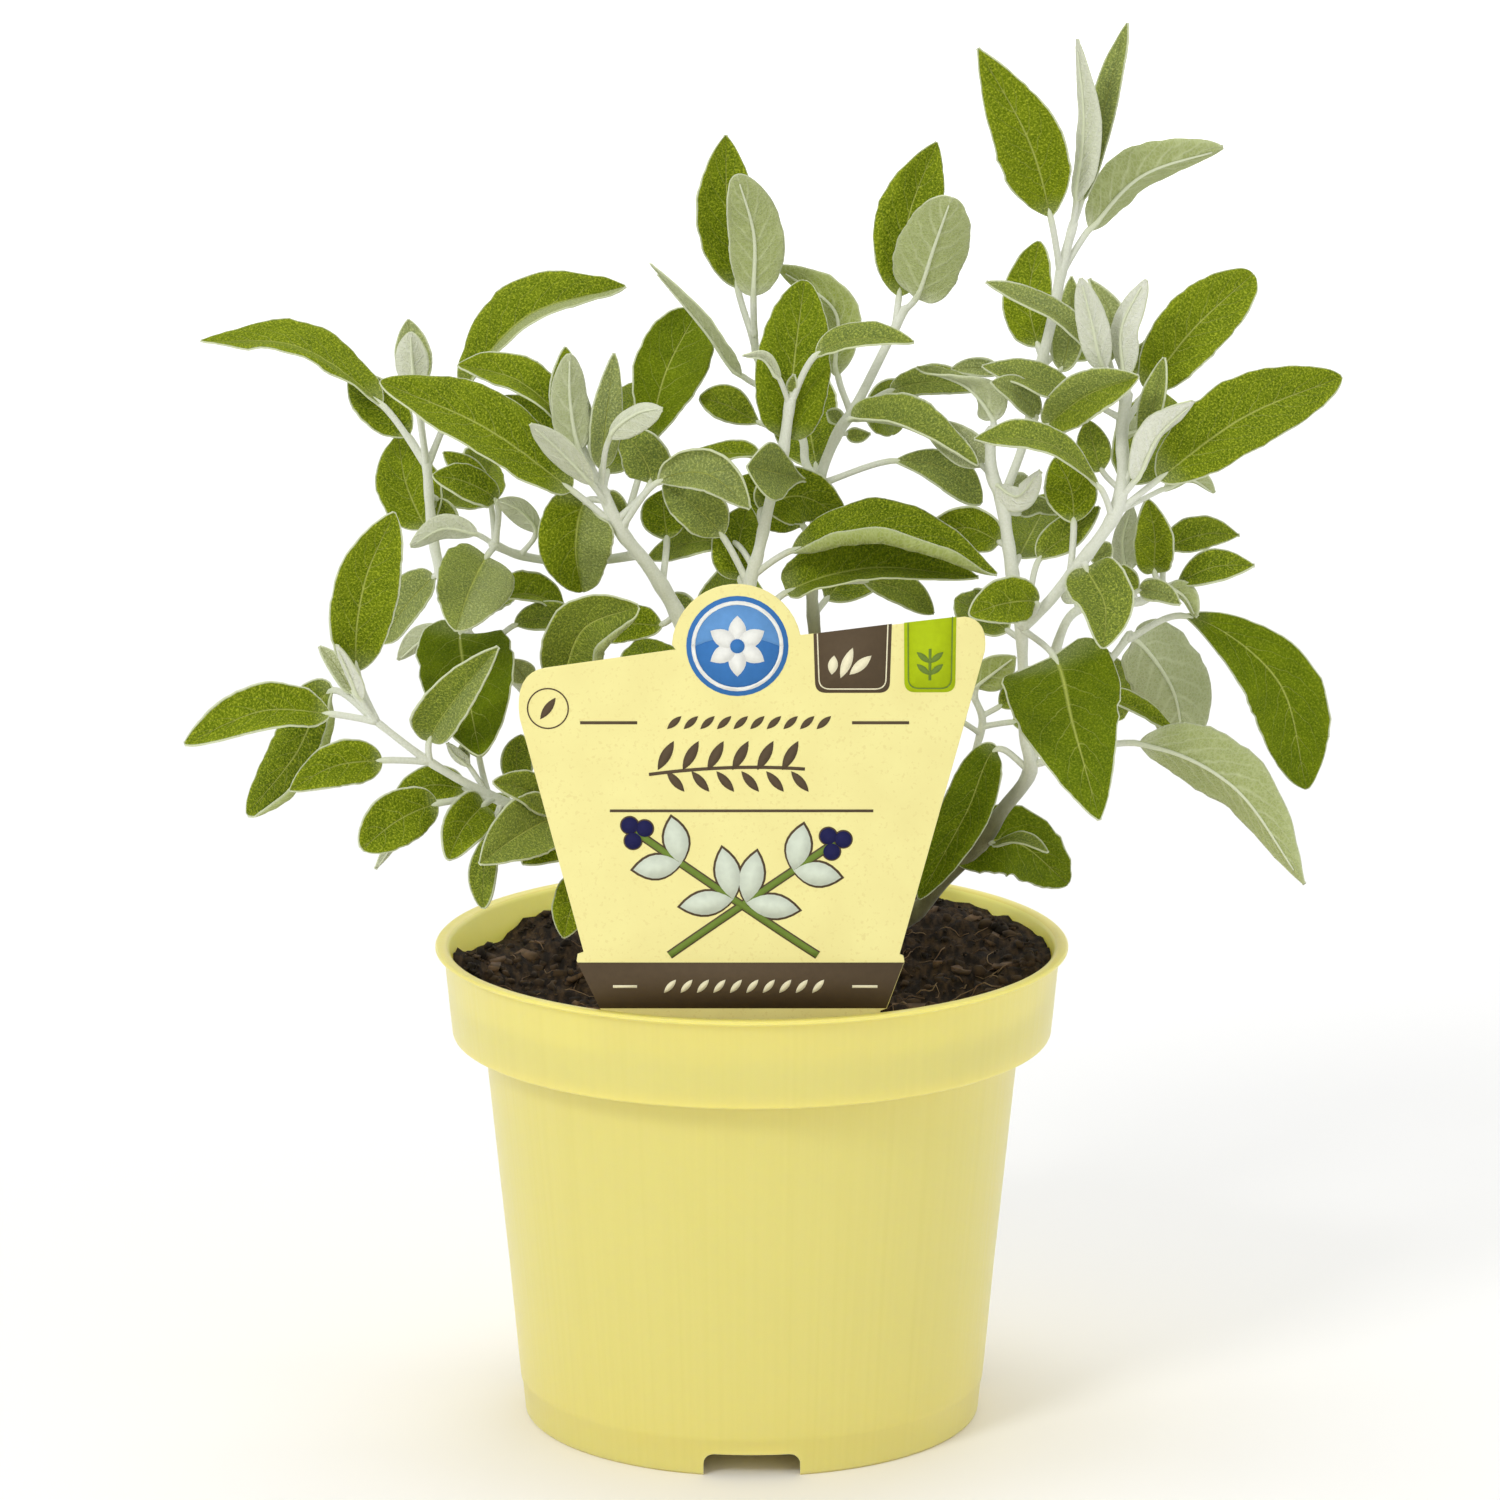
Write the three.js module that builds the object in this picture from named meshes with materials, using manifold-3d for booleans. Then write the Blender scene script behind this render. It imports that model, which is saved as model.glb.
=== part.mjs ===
// A potted Peruvian sage: a pale yellow 12 cm nursery pot filled with compost, a flat card tag
// just inside its front, and a bush of felted leafy stems. Each leafy stem is one body: the
// stem, its side shoots and its leaves, which grow out of it.
// Millimetres, +Z up, origin on the surface under the middle of the pot, front towards -Y.
import * as THREE from 'three';
import { mergeVertices } from 'three/addons/utils/BufferGeometryUtils.js';
import Module from 'manifold-3d';

const wasm = await Module();
wasm.setup();

// Pot
const POT_H = 92;
const LIP_R = 60;
const LIP_H = 1;
const COLLAR_TOP_R = 58.5;
const COLLAR_FOOT_R = 56.9;
const COLLAR_FOOT_Z = 75.2;
const WALL_TOP_R = 50.8;
const WALL_TOP_Z = 73.2;
const FOOT_R = 43.5;
const WALL_T = 1.3;
const FLOOR_T = 1.5;
const RAISED_Z = 5;
const DISC_R = 15;
const DISC_SLOPE = 5;
const NOTCHES = 3;
const NOTCH_W = 18;
const NOTCH_H = 4.4;
const NOTCH_ROUND = 2;
const NOTCH_FLARE = 0.6;
const NOTCH_RUN = 12;
const DRAINS = 6;
const DRAIN_R = 3;
const DRAIN_RING_R = 31;
const POT_SIDES = 48;

// Compost
const SOIL_Z = 84;
const SOIL_R = COLLAR_FOOT_R - WALL_T;
const SOIL_SIDES = POT_SIDES / 2;
const HOLE_DEPTH = 12;
const STEM_RISE = 1.6;
const HOLE_SIDES = 10;

// Tag
const TAG_FRONT_Y = -48.4;
const TAG_T = 0.8;
const TAG_BUMP_X = -2.7;
const TAG_BUMP_Z = 158.5;
const TAG_BUMP_R = 11.7;
const TAG_FOOT_Z = 77;

// Clear space kept between pieces that touch
const GAP = 0.3;

// Stems and leaves
const BLADE_T = 0.7;
const STALK_R = 0.62;
const STEM_SIDES = 5;
const STEM_STEP = 14;
const LINE_PARTS = 8;
const FOLD = 0.13;
const WAVE = 0.55;
const WAVE_FULL_AT = 4;
const ARCH = 0.06;

// Turns any closed geometry into a solid, with shared corners merged and faces pointing out.
function solid(geometry) {
  const bare = geometry.index ? geometry.toNonIndexed() : geometry.clone();
  for (const name of Object.keys(bare.attributes)) {
    if (name !== 'position') {
      bare.deleteAttribute(name);
    }
  }
  const merged = mergeVertices(bare, 1e-4);
  const position = merged.attributes.position;
  const index = merged.index.array;
  const corner = [new THREE.Vector3(), new THREE.Vector3(), new THREE.Vector3()];
  const kept = [];
  let volume = 0;
  for (let i = 0; i < index.length; i += 3) {
    const [a, b, c] = [index[i], index[i + 1], index[i + 2]];
    if (a !== b && b !== c && c !== a) {
      corner[0].fromBufferAttribute(position, a);
      corner[1].fromBufferAttribute(position, b);
      corner[2].fromBufferAttribute(position, c);
      volume += corner[0].dot(corner[1].cross(corner[2]));
      kept.push(a, b, c);
    }
  }
  if (volume < 0) {
    kept.reverse();
  }
  const mesh = new wasm.Mesh({
    numProp: 3,
    vertProperties: new Float32Array(position.array),
    triVerts: new Uint32Array(kept),
  });
  return new wasm.Manifold(mesh);
}

function meshOf(body, name, color, roughness) {
  const mesh = body.getMesh();
  const geometry = new THREE.BufferGeometry();
  geometry.setAttribute('position', new THREE.BufferAttribute(mesh.vertProperties, 3));
  geometry.setIndex(new THREE.BufferAttribute(mesh.triVerts, 1));
  geometry.computeVertexNormals();
  const material = new THREE.MeshStandardMaterial({ color, roughness, metalness: 0 });
  const part = new THREE.Mesh(geometry, material);
  part.name = name;
  return part;
}

// A body turned from an outline of [radius, height] points about the pot's upright axis.
function turned(outline, sides) {
  const points = outline.map(([r, z]) => new THREE.Vector2(r, z));
  return new THREE.LatheGeometry(points, sides).rotateX(Math.PI / 2);
}

// Pot
const wallSlope = (WALL_TOP_R - FOOT_R) / WALL_TOP_Z;
const wallR = (z) => FOOT_R + wallSlope * z;

const potOutside = [
  [0, 0],
  [DISC_R, 0],
  [DISC_R + DISC_SLOPE, RAISED_Z],
  [wallR(RAISED_Z) - WALL_T, RAISED_Z],
  [wallR(0) - WALL_T, 0],
  [wallR(0) - 0.4, 0],
  [wallR(0.5), 0.5],
  [WALL_TOP_R, WALL_TOP_Z],
  [WALL_TOP_R + 0.6, WALL_TOP_Z + 0.5],
  [COLLAR_FOOT_R - 0.8, COLLAR_FOOT_Z - 0.7],
  [COLLAR_FOOT_R, COLLAR_FOOT_Z],
  [COLLAR_TOP_R, POT_H - LIP_H],
  [LIP_R, POT_H - LIP_H + 0.3],
  [LIP_R - 0.3, POT_H],
];
const potInside = [
  [0, FLOOR_T],
  [DISC_R - 1, FLOOR_T],
  [DISC_R + DISC_SLOPE - 1, RAISED_Z + FLOOR_T],
  [wallR(RAISED_Z) - WALL_T, RAISED_Z + FLOOR_T],
  [WALL_TOP_R - WALL_T, WALL_TOP_Z + 1.2],
  [WALL_TOP_R - 0.3, WALL_TOP_Z + 1.9],
  [COLLAR_FOOT_R - 2.4, WALL_TOP_Z + 2.5],
  [COLLAR_FOOT_R - 1.3, COLLAR_FOOT_Z + 1.5],
  [COLLAR_TOP_R - WALL_T, POT_H - LIP_H],
  [COLLAR_TOP_R - 0.4, POT_H],
];

// The notch in the foot ring is a rounded slot, run out through the wall.
function footNotch(turn) {
  const shape = new THREE.Shape();
  shape.moveTo(-NOTCH_W / 2 - NOTCH_FLARE, -1);
  shape.lineTo(-NOTCH_W / 2, NOTCH_H - NOTCH_ROUND);
  shape.absarc(-NOTCH_W / 2 + NOTCH_ROUND, NOTCH_H - NOTCH_ROUND, NOTCH_ROUND, Math.PI, Math.PI / 2, true);
  shape.absarc(NOTCH_W / 2 - NOTCH_ROUND, NOTCH_H - NOTCH_ROUND, NOTCH_ROUND, Math.PI / 2, 0, true);
  shape.lineTo(NOTCH_W / 2 + NOTCH_FLARE, -1);
  shape.closePath();
  const slot = new THREE.ExtrudeGeometry(shape, {
    depth: NOTCH_RUN,
    bevelEnabled: false,
    curveSegments: 2,
  });
  slot.rotateX(Math.PI / 2).translate(0, NOTCH_RUN * 0.75 - FOOT_R, 0).rotateZ(turn);
  return solid(slot);
}

function makePot() {
  const outline = [...potOutside, ...potInside.slice().reverse()];
  let pot = solid(turned(outline, POT_SIDES));
  for (let i = 0; i < NOTCHES; i++) {
    pot = pot.subtract(footNotch((i / NOTCHES) * 2 * Math.PI));
  }
  for (let i = 0; i < DRAINS; i++) {
    const turn = ((i + 0.5) / DRAINS) * 2 * Math.PI;
    const drain = new THREE.CylinderGeometry(DRAIN_R, DRAIN_R, 4 * FLOOR_T, 8).rotateX(Math.PI / 2);
    drain.translate(DRAIN_RING_R * Math.sin(turn), DRAIN_RING_R * Math.cos(turn), RAISED_Z + FLOOR_T / 2);
    pot = pot.subtract(solid(drain));
  }
  return pot;
}

// Places on the plant are given as seen from the front: across and up on the upright plane
// through the pot's axis, and then moved along the line of sight to a depth towards the eye.
const EYE = new THREE.Vector3(0, -1171.6, 388.7);

function seen(across, up, depth) {
  const onPlane = new THREE.Vector3(across, 0, up);
  return EYE.clone().lerp(onPlane, 1 + depth / EYE.y);
}

function asSeen(point) {
  const share = EYE.y / (EYE.y - point.y);
  const onPlane = EYE.clone().lerp(point, share);
  return new THREE.Vector2(onPlane.x, onPlane.z);
}

// A closed skin over rings with the same number of corners, with flat ends. Both faces of a
// blade are split along the same diagonals.
function skin(rings) {
  const count = rings[0].length;
  const corners = [];
  const triangle = (a, b, c) => corners.push(a, b, c);
  for (let i = 0; i + 1 < rings.length; i++) {
    for (let j = 0; j < count; j++) {
      const k = (j + 1) % count;
      const [a, b, c, d] = [rings[i][j], rings[i][k], rings[i + 1][k], rings[i + 1][j]];
      if (j < count / 2) {
        triangle(a, b, c);
        triangle(a, c, d);
      } else {
        triangle(a, b, d);
        triangle(b, c, d);
      }
    }
  }
  const first = rings[0];
  const last = rings[rings.length - 1];
  for (let j = 1; j + 1 < count; j++) {
    triangle(first[0], first[j + 1], first[j]);
    triangle(last[0], last[j], last[j + 1]);
  }
  return new THREE.BufferGeometry().setFromPoints(corners);
}

// A stem or side shoot: a five-sided body along a smooth curve through [place, radius] stations.
// A main stem starts upright, its foot this far below its first station. Leaves grow from the
// points of its line, which stop short of its tip.
function makeShoot(stations, foot = 0) {
  const curve = new THREE.CatmullRomCurve3(stations.map(([place]) => place), false, 'centripetal');
  const steps = Math.max(2, Math.round(curve.getLength() / STEM_STEP));
  const rings = [];
  const line = [];
  for (let i = 0; i <= steps; i++) {
    const share = i / steps;
    const centre = curve.getPoint(share);
    if (i > 0) {
      const before = curve.getPoint((i - 1) / steps);
      for (let k = 0; k < LINE_PARTS; k++) {
        line.push(before.clone().lerp(centre, k / LINE_PARTS));
      }
    }
    const forward = i === 0 && foot > 0 ? new THREE.Vector3(0, 0, 1) : curve.getTangent(share);
    const side = new THREE.Vector3(0, 1, 0).cross(forward).normalize();
    const other = forward.clone().cross(side);
    const station = Math.min(share * (stations.length - 1), stations.length - 1.001);
    const below = Math.floor(station);
    const radius = THREE.MathUtils.lerp(stations[below][1], stations[below + 1][1], station - below);
    const ring = [];
    for (let j = 0; j < STEM_SIDES; j++) {
      const turn = (j / STEM_SIDES) * 2 * Math.PI;
      const arm = side.clone().multiplyScalar(Math.cos(turn) * radius);
      ring.push(centre.clone().add(arm).addScaledVector(other, Math.sin(turn) * radius));
    }
    rings.push(ring);
  }
  if (foot > 0) {
    rings.unshift(rings[0].map((corner) => corner.clone().setZ(corner.z - foot)));
  }
  return { line, body: solid(skin(rings)) };
}

// Half-width of a blade along its length, as a share of its widest: rounded at the foot,
// widest before the middle and drawn out to the tip.
const bladeShare = (t) => Math.sin(Math.PI * t ** 0.82) ** 0.72;

// Stations along the blade by its length, and the corners across it, from the left margin
// over the upper side and back under it; the smallest leaves have no fold at the midrib.
const LONG_STALK = 11;
const LONG_BLADE = 20;
const LONG_STATIONS = [0, 0.14, 0.4, 0.74, 1];
const SHORT_STATIONS = [0, 0.26, 0.7, 1];
const SMALL_BLADE = 7.3;
const FOLDED = [[-1, 1], [0, 1], [1, 1], [1, -1], [0, -1], [-1, -1]];
const FLAT = [[-1, 1], [1, 1], [1, -1], [-1, -1]];

// One leaf: a thin stalk from the stem, then the blade with its midrib, folded a little along
// it and waved at the margins. A face angle of 0 turns the upper side to the front, 180 turns
// the underside there, and twist is added to it on the way to the tip.
function makeLeaf(shoots, number, [foot, base, middle, tip, tipDepth, width, face, twist = 0]) {
  const target = new THREE.Vector2(...foot);
  let root = null;
  let nearest = Infinity;
  for (const { line } of shoots) {
    for (const point of line) {
      const distance = asSeen(point).distanceTo(target);
      if (distance < nearest) {
        nearest = distance;
        root = point;
      }
    }
  }
  const rootDepth = -root.y;
  const places = [asSeen(root), ...[base, middle, tip].map((place) => new THREE.Vector2(...place))];
  const [stalk, lower, upper] = places.slice(1).map((place, i) => place.distanceTo(places[i]));
  const arch = ARCH * (lower + upper) * Math.cos(THREE.MathUtils.degToRad(face + twist / 2));
  const depthAt = (run) => THREE.MathUtils.lerp(rootDepth, tipDepth, run / (stalk + lower + upper));
  const curve = new THREE.CatmullRomCurve3([
    root,
    seen(...base, depthAt(stalk)),
    seen(...middle, depthAt(stalk + lower) + arch),
    seen(...tip, tipDepth),
  ], false, 'centripetal');

  const small = width < SMALL_BLADE;
  const stations = lower + upper > LONG_BLADE ? LONG_STATIONS : SHORT_STATIONS;
  const bladeStart = 1 / 3;
  const shares = stalk > LONG_STALK ? [0, bladeStart / 2] : [0];
  for (const t of stations) {
    shares.push(bladeStart + (1 - bladeStart) * t);
  }
  const rings = shares.map((share) => {
    const t = Math.max(0, (share - bladeStart) / (1 - bladeStart));
    const centre = curve.getPoint(share);
    const forward = curve.getTangent(share);
    const toEye = EYE.clone().sub(centre).normalize();
    const front = toEye.addScaledVector(forward, -toEye.dot(forward)).normalize();
    const right = forward.clone().cross(front);
    const angle = THREE.MathUtils.degToRad(face + twist * t);
    const up = front.clone().multiplyScalar(Math.cos(angle)).addScaledVector(right, Math.sin(angle));
    const side = right.multiplyScalar(Math.cos(angle)).addScaledVector(front, -Math.sin(angle));
    const half = Math.max(STALK_R, (width / 2) * bladeShare(t));
    const blade = t > 0;
    const thick = blade ? BLADE_T / 2 : STALK_R * 0.8;
    const swell = Math.min(1, half / WAVE_FULL_AT);
    const ring = [];
    for (const [across, above] of small ? FLAT : FOLDED) {
      const wave = WAVE * swell * Math.sin(9 * t + 2.4 * across + number);
      const lift = across === 0 || !blade ? 0 : FOLD * half + wave;
      const skinTo = blade || across === 0 ? thick : thick * 0.6;
      const corner = centre.clone().addScaledVector(side, across * half);
      ring.push(corner.addScaledVector(up, lift + above * skinTo));
    }
    return ring;
  });
  return solid(skin(rings));
}

// A leafy stem: it stands in the compost at soil = [x, y], runs up through its path of
// [across, up, depth, radius] stations, carries side shoots, and its leaves are listed as
// [foot], [where the blade starts], [a place it passes], [tip], depth of the tip, width, face.
function makeLeafyStem({ soil, path, shoots = [], leaves }) {
  const stationsOf = (list) => list.map(([u, v, depth, radius]) => [seen(u, v, depth), radius]);
  const collar = new THREE.Vector3(...soil, SOIL_Z + bump(...soil) + STEM_RISE);
  const sunk = HOLE_DEPTH + STEM_RISE - GAP;
  const grown = [makeShoot([[collar, path[0][3]], ...stationsOf(path)], sunk)];
  for (const shoot of shoots) {
    grown.push(makeShoot(stationsOf(shoot)));
  }
  let body = grown[0].body;
  for (const shoot of grown.slice(1)) {
    body = body.add(shoot.body);
  }
  leaves.forEach((leaf, number) => {
    body = body.add(makeLeaf(grown, number, leaf));
  });
  const pieces = body.decompose();
  return pieces.reduce((largest, piece) => (piece.volume() > largest.volume() ? piece : largest));
}

// The compost lies in low waves and rises towards the back. It is filled up almost to the lip
// round the right side, and at the far left a clod leans on the wall with a dip behind it.
function bump(x, y) {
  const { smoothstep } = THREE.MathUtils;
  const reach = Math.hypot(x, y);
  const edge = 1 - Math.min(1, reach / SOIL_R) ** 4;
  const waves = Math.sin(x / 5.3 + 1) * Math.cos(y / 4.7) + 0.6 * Math.sin(x / 2.9 - y / 3.7);
  const rise = 4 * smoothstep(y, -5, 40);
  const heap = 4 * Math.exp(-((x - 40) ** 2 + (y - 28) ** 2) / 500);
  const clod = 5.5 * Math.exp(-((x + 57) ** 2) / 50 - (y - 1) ** 2 / 110);
  const dip = 2 * Math.exp(-((x + 49) ** 2 + (y - 28) ** 2) / 60);
  const full = smoothstep(reach, 30, 55) * smoothstep(x, 15, 45) * smoothstep(y, -30, -3);
  return 0.8 * edge * waves + (rise + heap) * (1 - full) + 5.7 * full + clod - dip;
}

const leafyStems = {
  low_left_stem: {
    soil: [-16, -4],
    path: [
      [-19, 96, 5, 1.3], [-25, 106, 8, 1.3], [-36, 114, 12, 1.2], [-49, 120, 17, 1.0],
      [-60.4, 126.5, 21, 0.85], [-72, 135.5, 24, 0.7],
    ],
    leaves: [
      [[-72, 135.5], [-74.2, 144.3], [-72.6, 161], [-66.8, 174.5], 30, 12, 10],
      [[-71.6, 135.2], [-73.6, 139], [-75.5, 144], [-77.8, 149.3], 33, 4.5, 130],
      [[-71.6, 135.2], [-75, 140], [-78, 145], [-81.2, 149], 19, 4, 20],
      [[-71, 134.8], [-79.5, 136], [-92, 136.6], [-107, 130.2], 30, 11, 30],
      [[-70.5, 134.4], [-79, 140.5], [-87.5, 131.5], [-95.4, 116.5], 10, 9, 42],
      [[-60.4, 126.5], [-69.7, 127], [-79, 125.8], [-87.3, 121.2], 32, 8.8, 10],
      [[-60.6, 126.6], [-60.8, 130.7], [-55.6, 139.2], [-47.6, 148.8], 28, 9.8, -8],
      [[-49.6, 120.3], [-54, 121.5], [-61, 122.2], [-68, 118.7], 11, 7, 15],
      [[-49, 120], [-59.4, 118.6], [-67, 115.3], [-73.8, 109.8], 31, 9, 5],
      [[-48, 119.5], [-58, 114], [-66, 109.3], [-72, 105.5], 13, 3, 150],
      [[-48.6, 119.8], [-50.5, 118.5], [-54.5, 114], [-57.5, 107.8], 34, 8.5, 0],
      [[-47.5, 119.3], [-49.5, 112.5], [-50.8, 105], [-51, 98.2], 20, 5.6, 20],
      [[-34, 112.8], [-37, 115.5], [-44, 112.5], [-51.5, 107], 33, 11.5, 0],
      [[-44, 117.8], [-45.5, 119], [-48, 116], [-50.3, 111.8], 4, 8, 0],
      [[-28, 108], [-32, 111.3], [-37.5, 110.3], [-43.5, 107], 20, 7, 10],
      [[-22, 101], [-30, 104.5], [-34, 98.8], [-35.8, 92.5], 24, 8, 0],
      [[-35, 113.4], [-37.5, 117.5], [-42.5, 121.3], [-48.8, 122.8], 25, 7, 20],
      [[-42, 117], [-43.5, 122], [-44.4, 127], [-43.3, 132], 6, 6, 0],
      [[-49.6, 120.3], [-51.4, 127.6], [-51.9, 133], [-51, 139.5], 8, 7, 0],
      [[-49.9, 120.5], [-53.6, 126.4], [-54.4, 128.4], [-53.4, 131.2], 18, 2.4, 20],
      [[-49.9, 120.5], [-53.4, 126], [-55.6, 128], [-57.4, 130.4], 20, 2.4, 150],
    ],
  },
  upper_left_stem: {
    soil: [-12, 7],
    path: [
      [-14, 96, -5, 1.7], [-20, 112, -2, 1.7], [-36, 134, 0, 1.5], [-48, 146, 2, 1.3],
      [-54, 152, 2, 1.2], [-59, 166, -4, 1.1], [-60.8, 185, -8, 0.95],
    ],
    leaves: [
      [[-60.8, 185], [-69, 195], [-84, 205.8], [-102.4, 207], -22, 12, 62],
      [[-60.8, 185], [-62.7, 198], [-63.2, 203], [-63.4, 208.6], 0, 6.2, 180],
      [[-60.8, 185], [-62.3, 197.6], [-63.2, 204], [-63.8, 211], -13, 7, 0],
      [[-60.8, 184.6], [-64, 189], [-69.5, 195], [-75, 200], -20, 9, 12],
      [[-60.8, 185], [-54, 197.5], [-42, 211.5], [-23.4, 217.2], -24, 13, -45],
      [[-59.4, 168.5], [-61, 171.5], [-64.6, 180], [-66, 189.2], -22, 12, 0],
      [[-60.3, 178.5], [-58.8, 177], [-57.2, 174.5], [-55.5, 171.5], -12, 3.5, 0],
      [[-53.6, 151.6], [-54.6, 149.6], [-53.6, 141], [-52, 130], 24, 17, 0],
      [[-54.2, 152.5], [-57, 152], [-62, 150.3], [-66.5, 146.5], -7, 7, 150],
      [[-58.2, 163], [-59.5, 162.3], [-64.5, 157.3], [-69.5, 149.5], -12, 9, 30],
      [[-54, 152], [-47.5, 158], [-41.5, 159], [-35, 156.5], -13, 8, -48],
      [[-50, 148.6], [-44.5, 153], [-38, 154.4], [-30.5, 152.6], -11, 6, -20],
      [[-37, 135], [-35.6, 141], [-31.4, 152.5], [-21.3, 156.6], 15, 12, 8],
      [[-42, 140], [-42.2, 142], [-43.4, 144], [-45.2, 146.4], 7, 5, 0],
      [[-24, 118], [-26, 121], [-30, 129], [-33, 134], -34, 13, 0],
      [[-59.6, 173], [-58, 176], [-52, 180], [-48, 184], -38, 11, 0],
      [[-54, 152], [-53, 155], [-50, 160], [-47, 163], -40, 12, 0],
    ],
  },
  pale_stem: {
    soil: [-4, -2],
    path: [
      [-5, 96, 0, 1.9], [-7, 130, -1, 1.8], [-13, 153, 0, 1.7], [-19.3, 164.2, 3, 1.5],
      [-24.5, 171, 5, 1.35], [-28.5, 180, 6, 1.1],
    ],
    shoots: [
      [[-21, 166.5, 3.6, 1.1], [-29, 165.4, -5, 1.0], [-38.2, 165.4, -8, 0.95],
        [-44.2, 166.6, -4, 0.9], [-48.7, 168.6, 0, 0.85]],
    ],
    leaves: [
      [[-24.5, 171], [-33.7, 178.8], [-50, 190.8], [-69.2, 199.3], 13, 15, 34],
      [[-26.4, 175.3], [-30, 180], [-35.5, 186], [-41.3, 191.3], 20, 5.4, 165],
      [[-28.5, 180], [-28, 183], [-27, 193], [-25.5, 204.6], 0, 8, 48],
      [[-28.5, 180], [-32.4, 186.5], [-34, 195.5], [-34, 204.5], 9, 7.4, 195],
      [[-28.5, 180], [-32, 186.5], [-34.4, 196], [-34.6, 205.8], -2, 7.5, 10],
      [[-28.2, 179.4], [-26.8, 178.4], [-25, 175.8], [-23.4, 172.6], 1, 3.5, 0],
      [[-28.4, 179.8], [-33.4, 190], [-43.5, 199.5], [-54.7, 202.5], -5, 9, 42],
      [[-28, 179], [-34, 187], [-41, 192.6], [-48, 196.3], -10, 7, 20],
      [[-27, 176.4], [-31, 176.6], [-33, 168.5], [-31.8, 159.3], -15, 14, 0],
      [[-24.5, 171], [-17.5, 180.3], [-8.5, 181.8], [-0.3, 175.2], 15, 8.4, -12],
      [[-25.2, 172.6], [-19, 180], [-20.6, 185.5], [-24.8, 190.2], 2, 9, 0],
      [[-28.5, 180], [-26.5, 188.5], [-21.6, 192.8], [-16.6, 194], 17, 6, 150],
      [[-24.2, 170.4], [-19.5, 187], [-16.2, 200.5], [-8.6, 210.8], -23, 13.5, 0],
      [[-14, 155.2], [-16.8, 153.2], [-23, 153.2], [-28.8, 150.4], -7, 7.5, 18],
      [[-12.6, 151.6], [-12, 153.6], [-13, 156.4], [-15.4, 159], -9, 5, 0],
      [[-17, 160.5], [-15.9, 169.5], [-16.4, 174.2], [-16.6, 178.8], -13, 9, 0],
      [[-48.7, 168.6], [-47.8, 176.6], [-53.6, 180.4], [-59.6, 181.6], 7, 7.4, 25],
      [[-48.7, 168.6], [-49.4, 178], [-53.6, 182.8], [-57.6, 186], -4, 5.6, 30],
      [[-43.4, 166.4], [-40.4, 170.8], [-43.4, 174.8], [-47.8, 176.8], 5, 7, 180],
      [[-48.7, 168.6], [-51.6, 170.4], [-57.6, 171.6], [-64, 168.2], 7, 6.4, 155],
      [[-48.6, 168.6], [-49.6, 166.2], [-52.8, 160], [-55.6, 152], 25, 14.5, 0],
      [[-8, 134], [-11, 137], [-18, 144], [-22, 150], -32, 13, 0],
      [[-12, 150], [-9.5, 153], [-4, 158], [0, 163], -38, 12, 0],
      [[-27.6, 178], [-27, 182], [-24, 191], [-20, 199], -42, 12, 0],
    ],
  },
  middle_stem: {
    soil: [0, -14],
    path: [
      [0, 92, 12, 1.8], [-0.5, 110, 9, 1.7], [-1.5, 140, 5, 1.5], [-0.5, 160, 3, 1.3],
      [1.5, 168, 3, 1.25], [3.5, 177, 2, 1.2], [5.6, 185, 1, 1.3], [7.2, 196, 0, 1.1],
    ],
    leaves: [
      [[7.2, 195], [5, 200], [2.3, 203.8], [-1.6, 204.3], 7, 5, 110],
      [[7.2, 195.5], [12, 204.3], [20, 207.4], [30.2, 206.7], 5, 8, -45],
      [[5.8, 186], [6.6, 188.4], [7.9, 203], [9.8, 218.3], -13, 14, 4],
      [[7.2, 195.8], [7.3, 197], [7.5, 198.6], [7.8, 200.6], 1, 2.2, 0],
      [[5.3, 184], [1.2, 185.4], [-5, 185.8], [-12.2, 185.8], -8, 7, 60],
      [[-0.6, 161], [-5.5, 170], [-10.5, 175.4], [-16.6, 179.8], -1, 9, 0],
      [[0.4, 164.4], [-3.4, 168.8], [-11.5, 168.8], [-19.6, 165.8], -17, 7, 28],
      [[-0.8, 159], [-2.2, 161.8], [-2.3, 169], [-0.6, 176], -9, 10, 0],
      [[0, 162], [7.5, 168], [22, 171.3], [38.5, 168.2], 8, 11, -52],
      [[-0.9, 152], [6.5, 159.3], [22, 164], [42.5, 162.2], -1, 13, -42],
      [[-0.3, 112], [2, 116], [8, 124], [12, 130], 34, 12, 0],
      [[-1.2, 132], [-4, 135], [-10, 142], [-14, 148], 32, 11, 0],
    ],
  },
  back_stem: {
    soil: [9, 9],
    path: [
      [9.5, 98, -10, 1.5], [13, 120, -14, 1.4], [12.3, 145, -15, 1.3], [11.3, 159, -15, 1.2],
      [11.8, 170, -12, 1.2], [12.5, 180, -9, 1.15], [16.3, 190, -8, 1.1], [18.7, 193.5, -8, 1.05],
      [26, 208, -10, 0.95], [28.5, 213, -11, 0.85],
    ],
    shoots: [
      [[12.5, 179.4, -9, 1.0], [10, 184, -12, 0.95], [9.6, 188, -14, 0.9], [6, 196, -17, 0.85],
        [1.2, 203, -16, 0.8], [0.3, 209, -14, 0.75]],
    ],
    leaves: [
      [[0.4, 208.6], [0.3, 215.5], [0.4, 226.5], [-2.8, 238], -5, 10.4, 180],
      [[0.7, 206], [-2.7, 217], [-4.5, 231], [-4.8, 245.3], -24, 12, 5],
      [[5.5, 196.6], [-2, 200.5], [-8.3, 209], [-18.7, 221.4], -4, 9, 112],
      [[9, 190], [1.5, 191.5], [-4.6, 194.8], [-9.8, 196.3], -13, 7, 15],
      [[18.3, 193], [16, 200.5], [15.8, 212.5], [4.9, 220.8], -22, 8.5, 140],
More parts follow.
